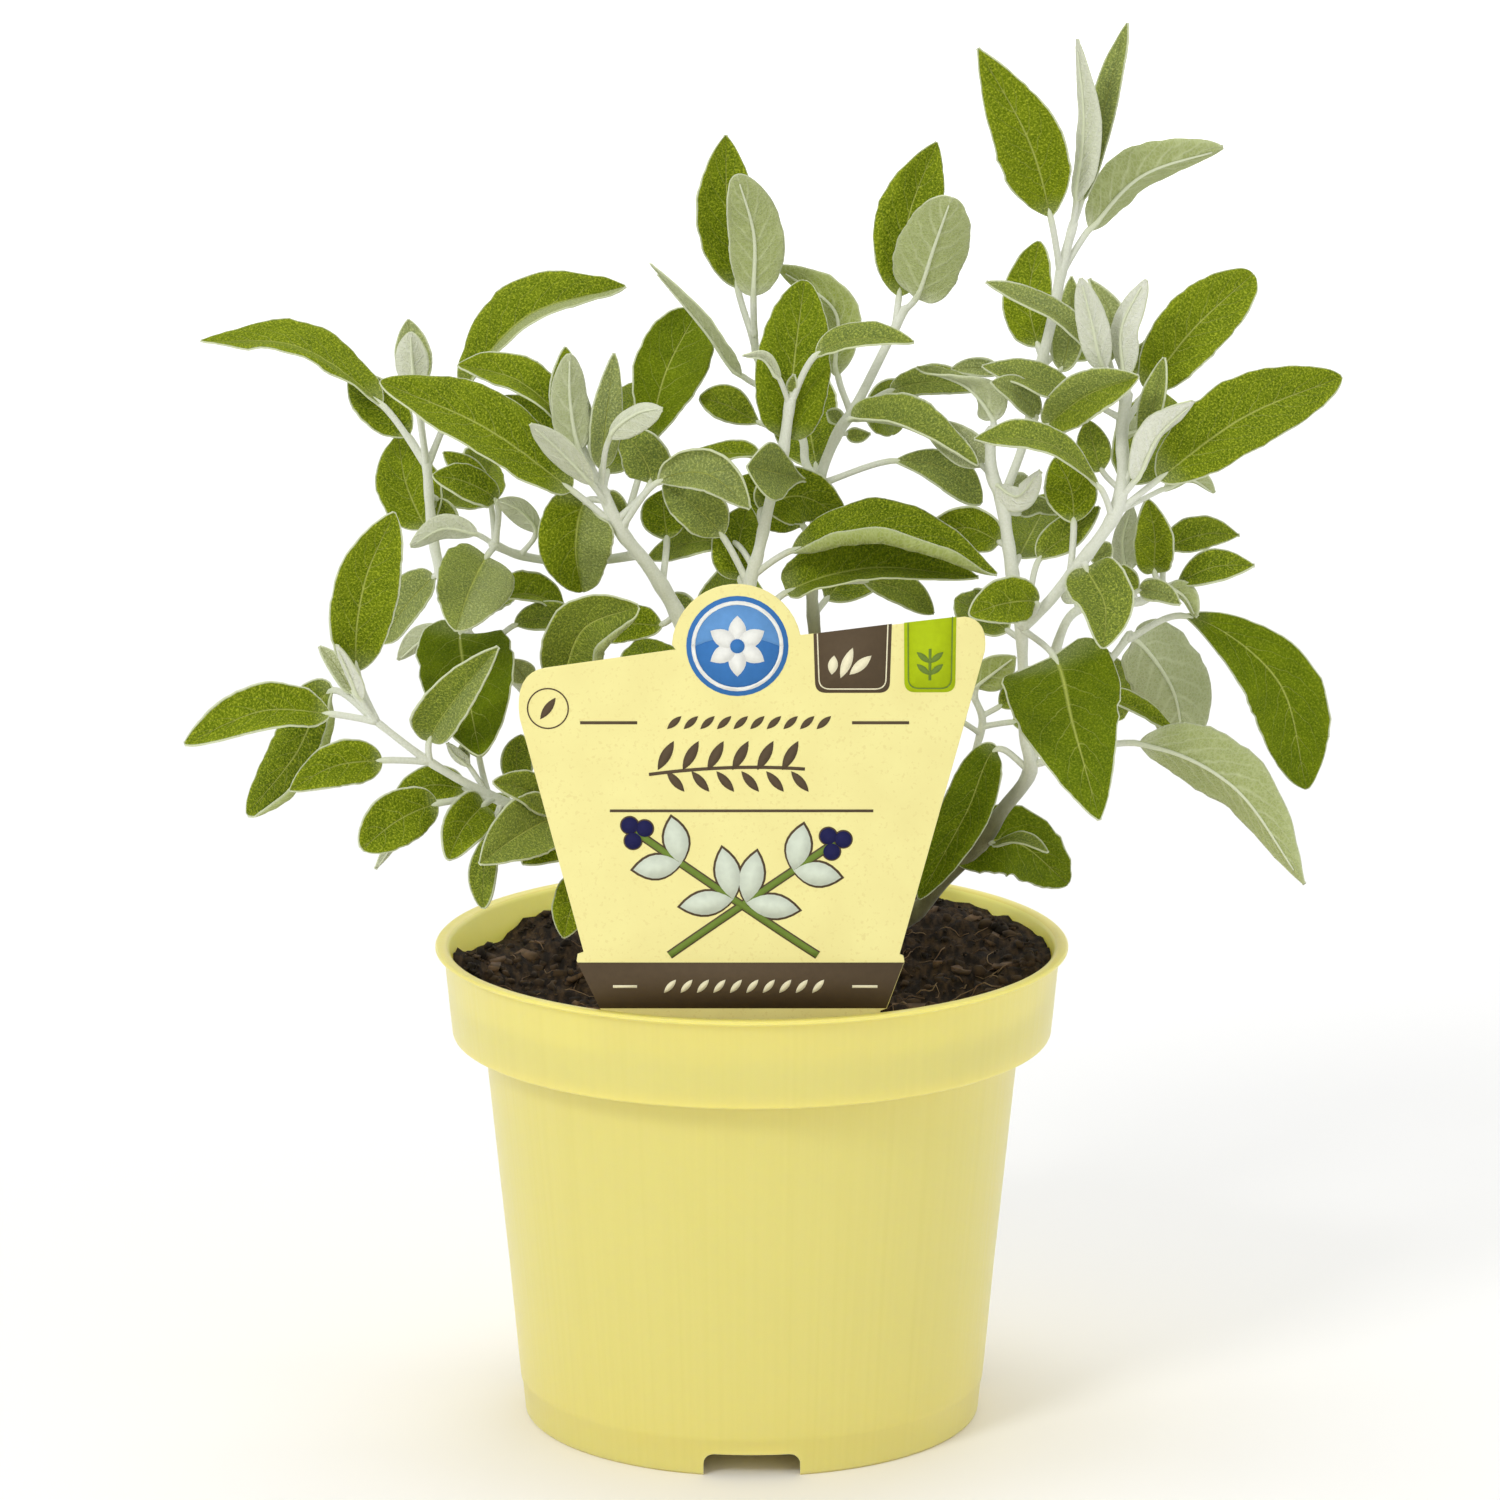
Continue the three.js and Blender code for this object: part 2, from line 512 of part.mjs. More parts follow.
      [[28.5, 213], [30.5, 214.9], [33.8, 224.5], [37, 233.8], 1, 12, 180],
      [[26.6, 209.2], [27.3, 215.2], [29, 230], [34.2, 244], -22, 12.5, 5],
      [[16.6, 190.5], [18.5, 192.2], [29, 191], [42.2, 183.5], 9, 10, -45],
      [[16.4, 190.2], [16.4, 191.2], [15.6, 192.6], [14, 193.6], -14, 3, 0],
      [[16, 189.2], [17.6, 189.4], [19.8, 189], [22.2, 189.4], -12, 3, 0],
      [[12.6, 180.2], [26.5, 184.3], [35.8, 182.8], [43, 176.2], -5, 7.5, -15],
      [[18.7, 193.5], [25.8, 197.5], [34, 199.3], [44.5, 198], -15, 7, -38],
      [[12.4, 179.8], [11.4, 180.2], [6.4, 181.6], [1.6, 182.6], 12, 10.4, 8],
      [[11.8, 168], [10.4, 169.6], [4.5, 175.3], [-2, 180.8], -20, 9, 0],
      [[11.9, 171], [11.6, 173], [14, 174.8], [17.7, 173.9], -14, 5, 0],
      [[11.3, 160], [21, 161.4], [28.5, 159.6], [34.2, 155.2], -22, 6.4, -15],
      [[12.8, 128], [16, 131], [24, 138], [31, 145], -44, 13, 0],
      [[12.5, 140], [9, 143], [2, 149], [-4, 154], -50, 12, 0],
      [[11.4, 155], [14, 158], [20, 165], [26, 170], -48, 12, 0],
      [[12.2, 178], [12, 183], [10, 194], [8, 206], -44, 13, 0],
      [[18, 192.6], [21, 193], [26, 194], [31, 193], -44, 11, 0],
    ],
  },
  thin_stem: {
    soil: [20, 2],
    path: [
      [28, 98, -5, 0.9], [33, 104.5, -8, 0.9], [37.6, 114.3, -9, 0.85],
      [42.5, 130, -6, 0.8], [43.4, 135, -5, 0.75], [41.7, 139.5, -4, 0.7],
    ],
    leaves: [
      [[41.7, 139.5], [42.3, 141], [45.5, 143.8], [49.6, 147], 1, 6.5, 180],
      [[43, 132.5], [40, 134.2], [36.5, 136], [32.5, 136], 2, 5, 0],
      [[43.4, 133.5], [49, 134.4], [56, 134.6], [63, 132.5], -6, 6.5, -10],
      [[43.3, 135.5], [46.6, 137.4], [51, 141], [55, 145], -7, 6, 0],
    ],
  },
  woody_stem: {
    soil: [24, 14],
    path: [
      [30.5, 97, -12, 1.6], [36, 103.5, -9, 1.5], [42.8, 110.8, -5, 1.7], [47.3, 117.3, -1, 1.35],
      [52.5, 125, 3, 1.4], [51.3, 132, 5, 1.2], [50.9, 146, 9, 1.15],
      [50.4, 154, 11, 1.3], [48.8, 163, 10, 1.4], [47.8, 170, 8, 1.3], [46.6, 177, 6, 1.35],
      [44.8, 182, 5, 1.3], [44.5, 190, 3, 1.1],
    ],
    shoots: [
      [[46.6, 176, 6, 1.1], [48.4, 181, 4, 1.0], [50.5, 187, 1, 0.95], [52.3, 195, -2, 1.0],
        [53.7, 202, -5, 1.1], [56, 212, -8, 1.15], [57.5, 220.5, -10, 1.15], [59.6, 229, -11, 0.9]],
      [[50.5, 152.5, 11, 1.25], [55.3, 157, 13, 1.2], [58.5, 161, 13, 1.2], [62, 165.5, 13, 1.25],
        [66, 171, 12, 1.3], [68, 174.5, 11, 1.4], [69.3, 181, 8, 1.3], [69, 190, 6, 1.25],
        [69.8, 197, 5, 1.2]],
      [[52.2, 124.5, 3, 1.2], [55, 136, 4, 1.1], [57.3, 149, 6, 1.0], [60, 155, 5, 0.95],
        [66, 157.4, 1, 0.9], [73, 157.6, -4, 0.9], [77.5, 160.5, -8, 0.85]],
      [[56, 141, 4.6, 0.95], [62, 142.5, 0, 0.9], [67, 146, -4, 0.85], [71, 151.3, -6, 0.85]],
    ],
    leaves: [
      [[52, 125], [46.2, 129.2], [40.6, 117], [31.6, 100], 9, 11, 0],
      [[45, 114.4], [41, 118.2], [36.5, 113.5], [33, 107], 3, 6, 0],
      [[43, 111.4], [41, 111], [50, 110], [59.6, 103.8], -14, 12.6, 0],
      [[43.4, 111.8], [45.6, 111], [50.6, 111.7], [56, 109.3], 6, 5, -58],
      [[50.5, 152.4], [56, 148.8], [60.6, 133.5], [65.7, 115.5], 40, 21, 0],
      [[51.6, 153.6], [52.8, 156], [47, 158], [40.6, 155], 27, 8.8, 5],
      [[52.8, 125.6], [73, 130.3], [90.5, 122.6], [104.8, 103], 12, 15.5, -145],
      [[71, 151.2], [71.6, 150.4], [79.2, 140.5], [81.5, 128.2], -14, 14, 180],
      [[71, 151.4], [81, 154.8], [98.6, 142.8], [104.8, 121.4], -3, 15.5, -8],
      [[55.8, 139.4], [66, 139.6], [73, 136.6], [80, 132.4], -7, 6, -52],
      [[62, 165.5], [62.6, 164], [67.6, 158], [66, 148.6], 28, 10.2, 0],
      [[72.5, 157.6], [71.6, 159], [70.2, 161.6], [69.2, 164.6], -2, 5, 0],
      [[61.6, 155.8], [60.8, 157.4], [60.2, 159.6], [60.4, 161.8], 1, 4.6, 170],
      [[70, 157.6], [72.6, 159.6], [76.4, 159.4], [80.4, 157], 5, 4.4, -15],
      [[77.5, 160.5], [78.6, 160.4], [81.4, 158.6], [83.6, 154.6], -2, 4, -140],
      [[76.6, 159.8], [75.5, 163], [75.4, 170], [74, 177], 4, 7.6, 0],
      [[77.2, 160.3], [78, 167.4], [84.6, 170.4], [91.3, 170.2], -17, 7, -22],
      [[77.4, 160.4], [79.8, 161.2], [86.6, 164.2], [94.2, 164.5], -4, 7, -28],
      [[71, 157.6], [70.2, 163.4], [69.6, 169.4], [71.2, 175.6], -9, 6.4, 150],
      [[60, 163], [60.2, 172.7], [59.6, 179], [56.6, 185], 1, 9.6, 0],
      [[51.4, 153.6], [53.8, 165.6], [59, 170.2], [65, 175.6], 3, 7, -25],
      [[63, 166.6], [63.6, 166], [65.4, 166.6], [67.2, 168.6], 4, 4, 0],
      [[47, 174.6], [50, 174.3], [53.4, 175.8], [57, 174.2], -1, 5, -15],
      [[48, 169], [49.6, 169.8], [52, 170.4], [54.6, 170.2], 0, 3, 0],
      [[48.3, 167], [49.8, 167.8], [52, 168], [54.2, 167], 3, 3.6, 180],
      [[45, 181], [45.8, 179.6], [49.4, 177.4], [53.9, 182.4], 14, 5.4, 165],
      [[46.6, 176.6], [48.2, 179], [49.8, 180.4], [51.6, 181.2], -2, 3, 0],
      [[68.6, 178.6], [65.4, 182.4], [63.8, 187], [62.6, 192], 2, 6.6, 0],
      [[67.4, 173.6], [65, 179.3], [55.2, 187.7], [41.5, 188.5], 22, 10, 48],
      [[51, 188.4], [54.5, 190.8], [62.6, 196.8], [72, 200.2], 15, 8.8, -4],
      [[69, 191.4], [61, 196.4], [52, 199.9], [42.8, 202.2], 3, 7.6, 44],
      [[51.2, 190.4], [53, 192.6], [49.4, 197], [44.6, 199.2], 10, 6, 30],
      [[44.5, 190], [45, 192], [40.6, 198.4], [30.6, 202], -3, 8, 160, -130],
      [[52.2, 194.6], [46, 200.8], [41.5, 201.9], [37, 201.6], -9, 3.6, 20],
      [[44.8, 181.5], [43, 183.4], [38.8, 187], [32, 191.6], -5, 7, 10],
      [[54, 203.6], [53.2, 206], [51.4, 214.5], [53.2, 225.6], -19, 9.5, 0],
      [[52.8, 197.6], [57.4, 201.4], [59.2, 210], [59.3, 219], -17, 6, -8],
      [[57.4, 220], [55.3, 230], [51.2, 244], [41.6, 261.3], -2, 13, 4],
      [[57.4, 220], [62.5, 227.8], [71.6, 237.8], [87, 243], -22, 11, -137],
      [[59.6, 228.6], [60, 233], [61.6, 247], [60, 263], -5, 6, 138],
      [[59.6, 228.6], [61, 233], [64.6, 249], [69, 266], -18, 6, -30],
      [[69.4, 191], [73.5, 197.5], [81.4, 208.4], [93, 219.5], -15, 12.6, 0],
      [[69.8, 196.6], [70.6, 200], [71.4, 203.4], [73.2, 206.8], -5, 3, 20],
      [[69.8, 197], [69.6, 200], [69, 209], [73.3, 218.3], 8, 6.6, 138],
      [[69.8, 197], [65.4, 201.6], [63.2, 210], [61, 218.7], 13, 5.8, 180],
      [[69.8, 197], [66.6, 203], [66.8, 211.5], [62.6, 218.6], -2, 4.6, 20],
      [[69.8, 197], [66, 201.5], [57.6, 211], [43.4, 218], 3, 9, 58],
      [[69.1, 186], [68.6, 188.8], [71.4, 190.2], [75.2, 190.4], -3, 5, -140],
      [[68, 174.4], [76, 180.8], [91.4, 192.4], [109.8, 200.2], -7, 14.4, -12],
      [[68.6, 177.4], [71.4, 180.4], [75.4, 189], [82.2, 195.7], 14, 7, -128],
      [[68.8, 179], [72.8, 187.4], [75, 196], [76.6, 203.8], 6, 5.4, -32],
      [[68, 174.4], [77, 179], [82, 181], [86.4, 178.4], -8, 4, -140],
      [[31, 97.8], [28, 103], [20, 112], [12, 121], -42, 14, 0],
      [[50.6, 150], [48, 152], [43, 155.5], [38, 158], -34, 12, 0],
      [[48.8, 163], [50, 166], [53, 172], [56, 178], -38, 13, 0],
      [[68.6, 176], [70, 180], [74, 189], [77, 197], -40, 13, 0],
      [[57.3, 149], [60, 147], [66, 141], [70, 135], -38, 12, 0],
      [[53.7, 202], [56, 204], [60.5, 208], [63.6, 213], -42, 11, 0],
    ],
  },
};

// Compost, cut for the tag and with a plain hole for each stem
function makeSoil() {
  const bedded = potInside.filter(([, z]) => z < SOIL_Z);
  const side = bedded.map(([r, z]) => [Math.max(0, r - GAP), z + GAP]);
  const top = [SOIL_R - GAP, 53, 47, 38, 29, 20, 10, 0].map((r) => [r, SOIL_Z]);
  const heaped = turned([...side, ...top], SOIL_SIDES);
  const position = heaped.attributes.position;
  const flare = (COLLAR_TOP_R - COLLAR_FOOT_R) / (POT_H - LIP_H - COLLAR_FOOT_Z - 1.5);
  for (let i = 0; i < position.count; i++) {
    const [x, y] = [position.getX(i), position.getY(i)];
    if (position.getZ(i) > SOIL_Z - GAP) {
      const top = SOIL_Z + bump(x, y);
      const onRim = Math.hypot(x, y) > SOIL_R - GAP - 0.1;
      const widen = onRim ? 1 + (flare * (top - COLLAR_FOOT_Z - 1.5)) / (SOIL_R - GAP) : 1;
      position.setXYZ(i, x * widen, y * widen, top);
    }
  }
  let soil = solid(heaped);
  for (const { soil: [x, y], path } of Object.values(leafyStems)) {
    const radius = (path[0][3] + GAP) / Math.cos(Math.PI / HOLE_SIDES);
    const hole = new THREE.CylinderGeometry(radius, radius, 2 * HOLE_DEPTH, HOLE_SIDES);
    hole.rotateX(Math.PI / 2).translate(x, y, SOIL_Z + bump(x, y));
    soil = soil.subtract(solid(hole));
  }
  return soil.subtract(makeTag(GAP));
}

// Tag: narrow at the foot, wide at its slanting top, with a round rise in the middle and two
// small ears at the top of its lower band. Its slot in the compost is the same shape, grown by
// the gap.
function makeTag(grow) {
  const shape = new THREE.Shape();
  shape.moveTo(-24 - grow, TAG_FOOT_Z - grow);
  shape.lineTo(-27.5 - grow, 91);
  shape.lineTo(-31.9 - grow, 100.4);
  shape.lineTo(-31.7 - grow, 101.6);
  shape.lineTo(-30.6 - grow, 102);
  shape.lineTo(-41.9 - grow, 145.5);
  shape.quadraticCurveTo(-43, 153.8, -37.3, 154.8 + grow);
  shape.lineTo(-13.7, 158.2);
  shape.absarc(TAG_BUMP_X, TAG_BUMP_Z, TAG_BUMP_R, Math.PI - 0.05, 0.2, true);
  shape.lineTo(38.4, 164.2 + grow);
  shape.quadraticCurveTo(42.6, 163.6, 42, 158);
  shape.lineTo(26.9 + grow, 101.6);
  shape.lineTo(27.6 + grow, 101.3);
  shape.lineTo(27.8 + grow, 100.2);
  shape.lineTo(24.6 + grow, 91.4);
  shape.lineTo(23.5 + grow, 91);
  shape.lineTo(21 + grow, TAG_FOOT_Z - grow);
  shape.closePath();
  const thick = TAG_T + 2 * grow;
  const plate = new THREE.ExtrudeGeometry(shape, { depth: thick, bevelEnabled: false, curveSegments: 8 });
  plate.rotateX(Math.PI / 2).translate(0, TAG_FRONT_Y + TAG_T + grow, 0);
  return solid(plate);
}

const sage = new THREE.Group();
sage.add(meshOf(makePot(), 'pot', 0xe5da86, 0.45));
sage.add(meshOf(makeSoil(), 'soil', 0x241c16, 0.95));
sage.add(meshOf(makeTag(0), 'plant_tag', 0xf5efa0, 0.7));
for (const [name, stem] of Object.entries(leafyStems)) {
  sage.add(meshOf(makeLeafyStem(stem), name, 0x6f8420, 0.8));
}

export default sage;
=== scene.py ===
import math
import random

import bmesh
import bpy
from mathutils import Matrix, Vector, noise


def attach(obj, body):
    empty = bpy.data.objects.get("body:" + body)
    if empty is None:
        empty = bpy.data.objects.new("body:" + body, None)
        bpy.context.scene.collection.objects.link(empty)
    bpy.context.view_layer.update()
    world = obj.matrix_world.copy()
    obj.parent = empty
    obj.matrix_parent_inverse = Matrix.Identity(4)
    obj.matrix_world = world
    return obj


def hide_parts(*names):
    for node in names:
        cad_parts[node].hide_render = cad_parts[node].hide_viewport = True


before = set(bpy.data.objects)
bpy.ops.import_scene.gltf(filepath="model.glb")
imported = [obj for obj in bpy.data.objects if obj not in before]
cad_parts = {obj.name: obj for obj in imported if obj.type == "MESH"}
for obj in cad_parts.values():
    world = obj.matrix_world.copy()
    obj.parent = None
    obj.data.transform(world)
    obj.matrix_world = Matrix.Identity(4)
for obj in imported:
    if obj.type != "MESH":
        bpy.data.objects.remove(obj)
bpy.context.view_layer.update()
MM = 0.001


# Camera: a long lens a little above the pot's rim, looking down at the middle of the plant.
LENS_MM = 152.8
SENSOR_MM = 36
VIEW_END_M = 20
PHOTO_WIDTH_PX = 1500
PHOTO_OFFSET_PX = 1.8
EYE = Vector((0, -1171.6, 388.7)) * MM
LOOK_AT = Vector((0, 0, 129)) * MM
camera = bpy.data.objects.new("camera", bpy.data.cameras.new("camera"))
camera.data.lens = LENS_MM
camera.data.sensor_width = SENSOR_MM
camera.data.shift_x = -PHOTO_OFFSET_PX / PHOTO_WIDTH_PX
camera.data.clip_end = VIEW_END_M
camera.location = EYE
camera.rotation_euler = (LOOK_AT - EYE).to_track_quat("-Z", "Y").to_euler()
bpy.context.collection.objects.link(camera)
bpy.context.scene.camera = camera
bpy.context.scene.view_settings.view_transform = "Standard"


# Studio: a plain pale floor that runs into a pale surround, a broad soft lamp at the upper
# left, a weaker one at the right, one behind that lights the leaf margins, one overhead, and
# one that looks straight down on the floor far behind, so that it stays as pale as in front.
FLOOR_R = 6
FLOOR_COLOUR = (0.95, 0.95, 0.945, 1)
SURROUND_COLOUR = (1, 1, 1, 1)
SURROUND_STRENGTH = 0.72


class Finish:
    """A material made of nodes. Each maker adds a node with its inputs set to a value or linked
    to what another maker gave, and gives what comes out of it."""

    def __init__(self, name, colour, roughness, **inputs):
        self.material = bpy.data.materials.new(name)
        self.material.use_nodes = True
        self.shader = self.material.node_tree.nodes["Principled BSDF"]
        self.shade({"Base Color": colour, "Roughness": roughness, **inputs})

    def feed(self, node, inputs):
        for socket, value in inputs.items():
            if isinstance(value, bpy.types.NodeSocket):
                self.material.node_tree.links.new(value, node.inputs[socket])
            else:
                node.inputs[socket].default_value = value

    def shade(self, inputs):
        self.feed(self.shader, inputs)

    def add(self, kind, inputs=None, **settings):
        node = self.material.node_tree.nodes.new("ShaderNode" + kind)
        for setting, value in settings.items():
            setattr(node, setting, value)
        self.feed(node, inputs or {})
        return node.outputs

    def place(self):
        return self.add("TexCoord")["Object"]

    def layer(self, name):
        return self.add("Attribute", attribute_name=name)["Fac"]

    def stretched(self, vector, scale, rotation=(0, 0, 0)):
        return self.add("Mapping", {"Vector": vector, "Scale": scale, "Rotation": rotation})["Vector"]

    def noise(self, vector, scale, detail=2, roughness=0.5):
        return self.add("TexNoise", {"Vector": vector, "Scale": scale, "Detail": detail,
                                     "Roughness": roughness})["Fac"]

    def ranged(self, value, low, high, to_low=0, to_high=1):
        return self.add("MapRange", {"Value": value, "From Min": low, "From Max": high,
                                     "To Min": to_low, "To Max": to_high})["Result"]

    def calc(self, operation, *values, clamp=False):
        return self.add("Math", dict(enumerate(values)), operation=operation,
                        use_clamp=clamp)["Value"]

    def mixed(self, share, first, second):
        return self.add("Mix", {"Factor": share, "A": first, "B": second}, data_type="RGBA")["Result"]

    def relief(self, height, strength, distance, over=None):
        inputs = {"Height": height, "Strength": strength, "Distance": distance}
        if over:
            inputs["Normal"] = over
        return self.add("Bump", inputs)["Normal"]


pale_floor = Finish("pale floor", FLOOR_COLOUR, 0.8)
floor_bm = bmesh.new()
bmesh.ops.create_circle(floor_bm, cap_ends=True, segments=96, radius=FLOOR_R)
floor_mesh = bpy.data.meshes.new("floor")
floor_bm.to_mesh(floor_mesh)
floor_bm.free()
floor = bpy.data.objects.new("floor", floor_mesh)
bpy.context.collection.objects.link(floor)
floor_mesh.materials.append(pale_floor.material)

surround = bpy.data.worlds.new("surround")
surround.use_nodes = True
surround.node_tree.nodes["Background"].inputs["Color"].default_value = SURROUND_COLOUR
surround.node_tree.nodes["Background"].inputs["Strength"].default_value = SURROUND_STRENGTH
bpy.context.scene.world = surround


def soft_lamp(name, place, size, power):
    """A square area lamp that faces the middle of the plant."""
    lamp = bpy.data.objects.new(name, bpy.data.lights.new(name, "AREA"))
    lamp.data.size = size
    lamp.data.energy = power
    lamp.location = place
    lamp.rotation_euler = (LOOK_AT - Vector(place)).to_track_quat("-Z", "Y").to_euler()
    bpy.context.collection.objects.link(lamp)
    return lamp


soft_lamp("key lamp", (-0.9, -1.2, 1.2), 0.4, 9)
soft_lamp("fill lamp", (1.2, -0.9, 0.5), 0.8, 1.5)
soft_lamp("back lamp", (0.4, 1.2, 0.9), 0.8, 2)
soft_lamp("top lamp", (0, 0.2, 1.5), 0.6, 4)
floor_wash = soft_lamp("floor wash", (0, 3.4, 1.6), 3.4, 60)
floor_wash.rotation_euler = (0, 0, 0)
floor_wash.data.spread = math.radians(100)


def add_piece(name, piece_bm, finishes, node=None):
    """A finished mesh object at the origin that rides with the pot and stands for its node."""
    mesh = bpy.data.meshes.new(name)
    piece_bm.to_mesh(mesh)
    piece_bm.free()
    for finish in finishes:
        mesh.materials.append(finish.material)
    for face in mesh.polygons:
        face.use_smooth = True
    piece = bpy.data.objects.new(name, mesh)
    bpy.context.collection.objects.link(piece)
    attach(piece, "root")
    if node:
        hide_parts(node)
    return piece


# Nursery pot: one thin-walled moulding in pale yellow plastic, with a thin lip, a wide
# collar above a tapered wall, a raised floor with drain holes and three notches in its foot.
# The mould's fine upright flow lines show on the wall, and a faint step runs above the foot.
# The inner wall above the collar foot is painted lighter: painted light that stands for light
# shining through the thin plastic.
POT_H = 92
LIP_R = 60
LIP_H = 1
COLLAR_TOP_R = 58.5
COLLAR_FOOT_R = 56.9
COLLAR_FOOT_Z = 75.2
WALL_TOP_R = 50.8
WALL_TOP_Z = 73.2
FOOT_R = 43.5
WALL_T = 1.3
FLOOR_T = 1.5
RAISED_Z = 5
DISC_R = 15
DISC_SLOPE = 5
INSIDE_RISE = 1.5
STEP_Z = 6.6
STEP = 0.22
NOTCHES = 3
NOTCH_W = 18
NOTCH_H = 4.4
NOTCH_ROUND = 2
NOTCH_CUT = 6
DRAINS = 6
DRAIN_R = 3
DRAIN_RING_R = 31
POT_STEPS = 160
POT_SHARP = math.radians(40)
POT_COLOUR = (0.90, 0.735, 0.21, 1)
POT_DEEP_COLOUR = (0.86, 0.70, 0.185, 1)
# Painted light: a lighter, warmer colour for the inner wall, for light shining through it.
POT_INSIDE_PAINTED_LIGHT_COLOUR = (1, 0.87, 0.29, 1)


def wall_r(z):
    return FOOT_R + (WALL_TOP_R - FOOT_R) * z / WALL_TOP_Z


def spun(outline, steps):
    """A mesh spun about the upright axis from (radius, height) points in millimetres."""
    bm = bmesh.new()
    verts = [bm.verts.new((r * MM, 0, z * MM)) for r, z in outline]
    edges = [bm.edges.new(pair) for pair in zip(verts, verts[1:])]
    bmesh.ops.spin(bm, geom=verts + edges, cent=(0, 0, 0), axis=(0, 0, 1), dvec=(0, 0, 0),
                   angle=math.tau, steps=steps, use_merge=True)
    bmesh.ops.remove_doubles(bm, verts=bm.verts, dist=1e-6)
    bmesh.ops.recalc_face_normals(bm, faces=bm.faces)
    return bm


pot_outside = [
    (0, 0), (DISC_R, 0), (DISC_R + 0.6, 0.3), (DISC_R + DISC_SLOPE - 0.6, RAISED_Z - 0.3),
    (DISC_R + DISC_SLOPE, RAISED_Z), (wall_r(RAISED_Z) - WALL_T - 0.5, RAISED_Z),
    (wall_r(RAISED_Z) - WALL_T, RAISED_Z - 0.5), (wall_r(0) - WALL_T, 0.4),
    (wall_r(0) - WALL_T + 0.35, 0), (wall_r(0) - 0.4, 0), (wall_r(0.4), 0.4),
    (wall_r(2), 2), (wall_r(STEP_Z), STEP_Z), (wall_r(STEP_Z + 0.3) + STEP, STEP_Z + 0.3),
    (wall_r(STEP_Z + 1.5) + STEP, STEP_Z + 1.5), (wall_r(30), 30), (wall_r(50), 50),
    (wall_r(66), 66), (WALL_TOP_R, WALL_TOP_Z), (WALL_TOP_R + 0.15, WALL_TOP_Z + 0.3),
    (WALL_TOP_R + 0.7, WALL_TOP_Z + 0.5), (COLLAR_FOOT_R - 1.1, COLLAR_FOOT_Z - 0.7),
    (COLLAR_FOOT_R - 0.55, COLLAR_FOOT_Z - 0.58), (COLLAR_FOOT_R - 0.15, COLLAR_FOOT_Z - 0.35),
    (COLLAR_FOOT_R, COLLAR_FOOT_Z), (COLLAR_FOOT_R + 0.5, 80.2),
    (COLLAR_TOP_R - 0.15, POT_H - LIP_H - 0.5), (COLLAR_TOP_R + 0.2, POT_H - LIP_H),
]
pot_lip = [
    (LIP_R - 0.35, POT_H - LIP_H + 0.12), (LIP_R, POT_H - LIP_H + 0.4),
    (LIP_R, POT_H - 0.35), (LIP_R - 0.3, POT_H - 0.04), (LIP_R - 0.8, POT_H),
    (COLLAR_TOP_R - 0.3, POT_H), (COLLAR_TOP_R - 0.85, POT_H - 0.35),
    (COLLAR_TOP_R - WALL_T, POT_H - LIP_H),
]
pot_inside = [
    (COLLAR_FOOT_R - WALL_T, COLLAR_FOOT_Z + INSIDE_RISE), (COLLAR_FOOT_R - 2.4, WALL_TOP_Z + 2.5),
    (WALL_TOP_R - 0.3, WALL_TOP_Z + 1.9), (WALL_TOP_R - WALL_T, WALL_TOP_Z + 1.2),
    (wall_r(RAISED_Z) - WALL_T, RAISED_Z + FLOOR_T), (DISC_R + DISC_SLOPE - 1, RAISED_Z + FLOOR_T),
    (DISC_R - 1, FLOOR_T), (0, FLOOR_T),
]
pot_bm = spun(pot_outside + pot_lip + pot_inside, POT_STEPS)


def cut_out(piece_bm, cutter_bm):
    """The first mesh with the second one cut out of it."""
    cut = []
    for part_bm in (piece_bm, cutter_bm):
        mesh = bpy.data.meshes.new("cut")
        part_bm.to_mesh(mesh)
        part_bm.free()
        part = bpy.data.objects.new("cut", mesh)
        bpy.context.collection.objects.link(part)
        cut.append(part)
    boolean = cut[0].modifiers.new("cut", "BOOLEAN")
    boolean.operation = "DIFFERENCE"
    boolean.solver = "EXACT"
    boolean.object = cut[1]
    result = bmesh.new()
    result.from_mesh(cut[0].evaluated_get(bpy.context.evaluated_depsgraph_get()).to_mesh())
    for part in cut:
        bpy.data.objects.remove(part)
    return result


cutter_bm = bmesh.new()
for i in range(NOTCHES):
    turn = Matrix.Rotation(i / NOTCHES * math.tau, 4, "Z")
    place = Matrix.Translation(Vector((0, -FOOT_R, 0)) * MM)
    size = Matrix.Diagonal((NOTCH_W * MM, NOTCH_CUT * MM, 2 * NOTCH_H * MM, 1))
    notch = bmesh.ops.create_cube(cutter_bm, size=1, matrix=turn @ place @ size)
    deep = [e for e in {e for v in notch["verts"] for e in v.link_edges}
            if abs((e.verts[0].co - e.verts[1].co).length - NOTCH_CUT * MM) < 1e-5]
    bmesh.ops.bevel(cutter_bm, geom=deep, offset=NOTCH_ROUND * MM, offset_type="OFFSET", segments=5,
                    profile=0.5, affect="EDGES", material=-1)
for i in range(DRAINS):
    angle = (i + 0.5) / DRAINS * math.tau
    place = Vector((math.sin(angle) * DRAIN_RING_R, math.cos(angle) * DRAIN_RING_R, RAISED_Z)) * MM
    bmesh.ops.create_cone(cutter_bm, cap_ends=True, segments=24, radius1=DRAIN_R * MM,
                          radius2=DRAIN_R * MM, depth=3 * FLOOR_T * MM,
                          matrix=Matrix.Translation(place))
pot_bm = cut_out(pot_bm, cutter_bm)

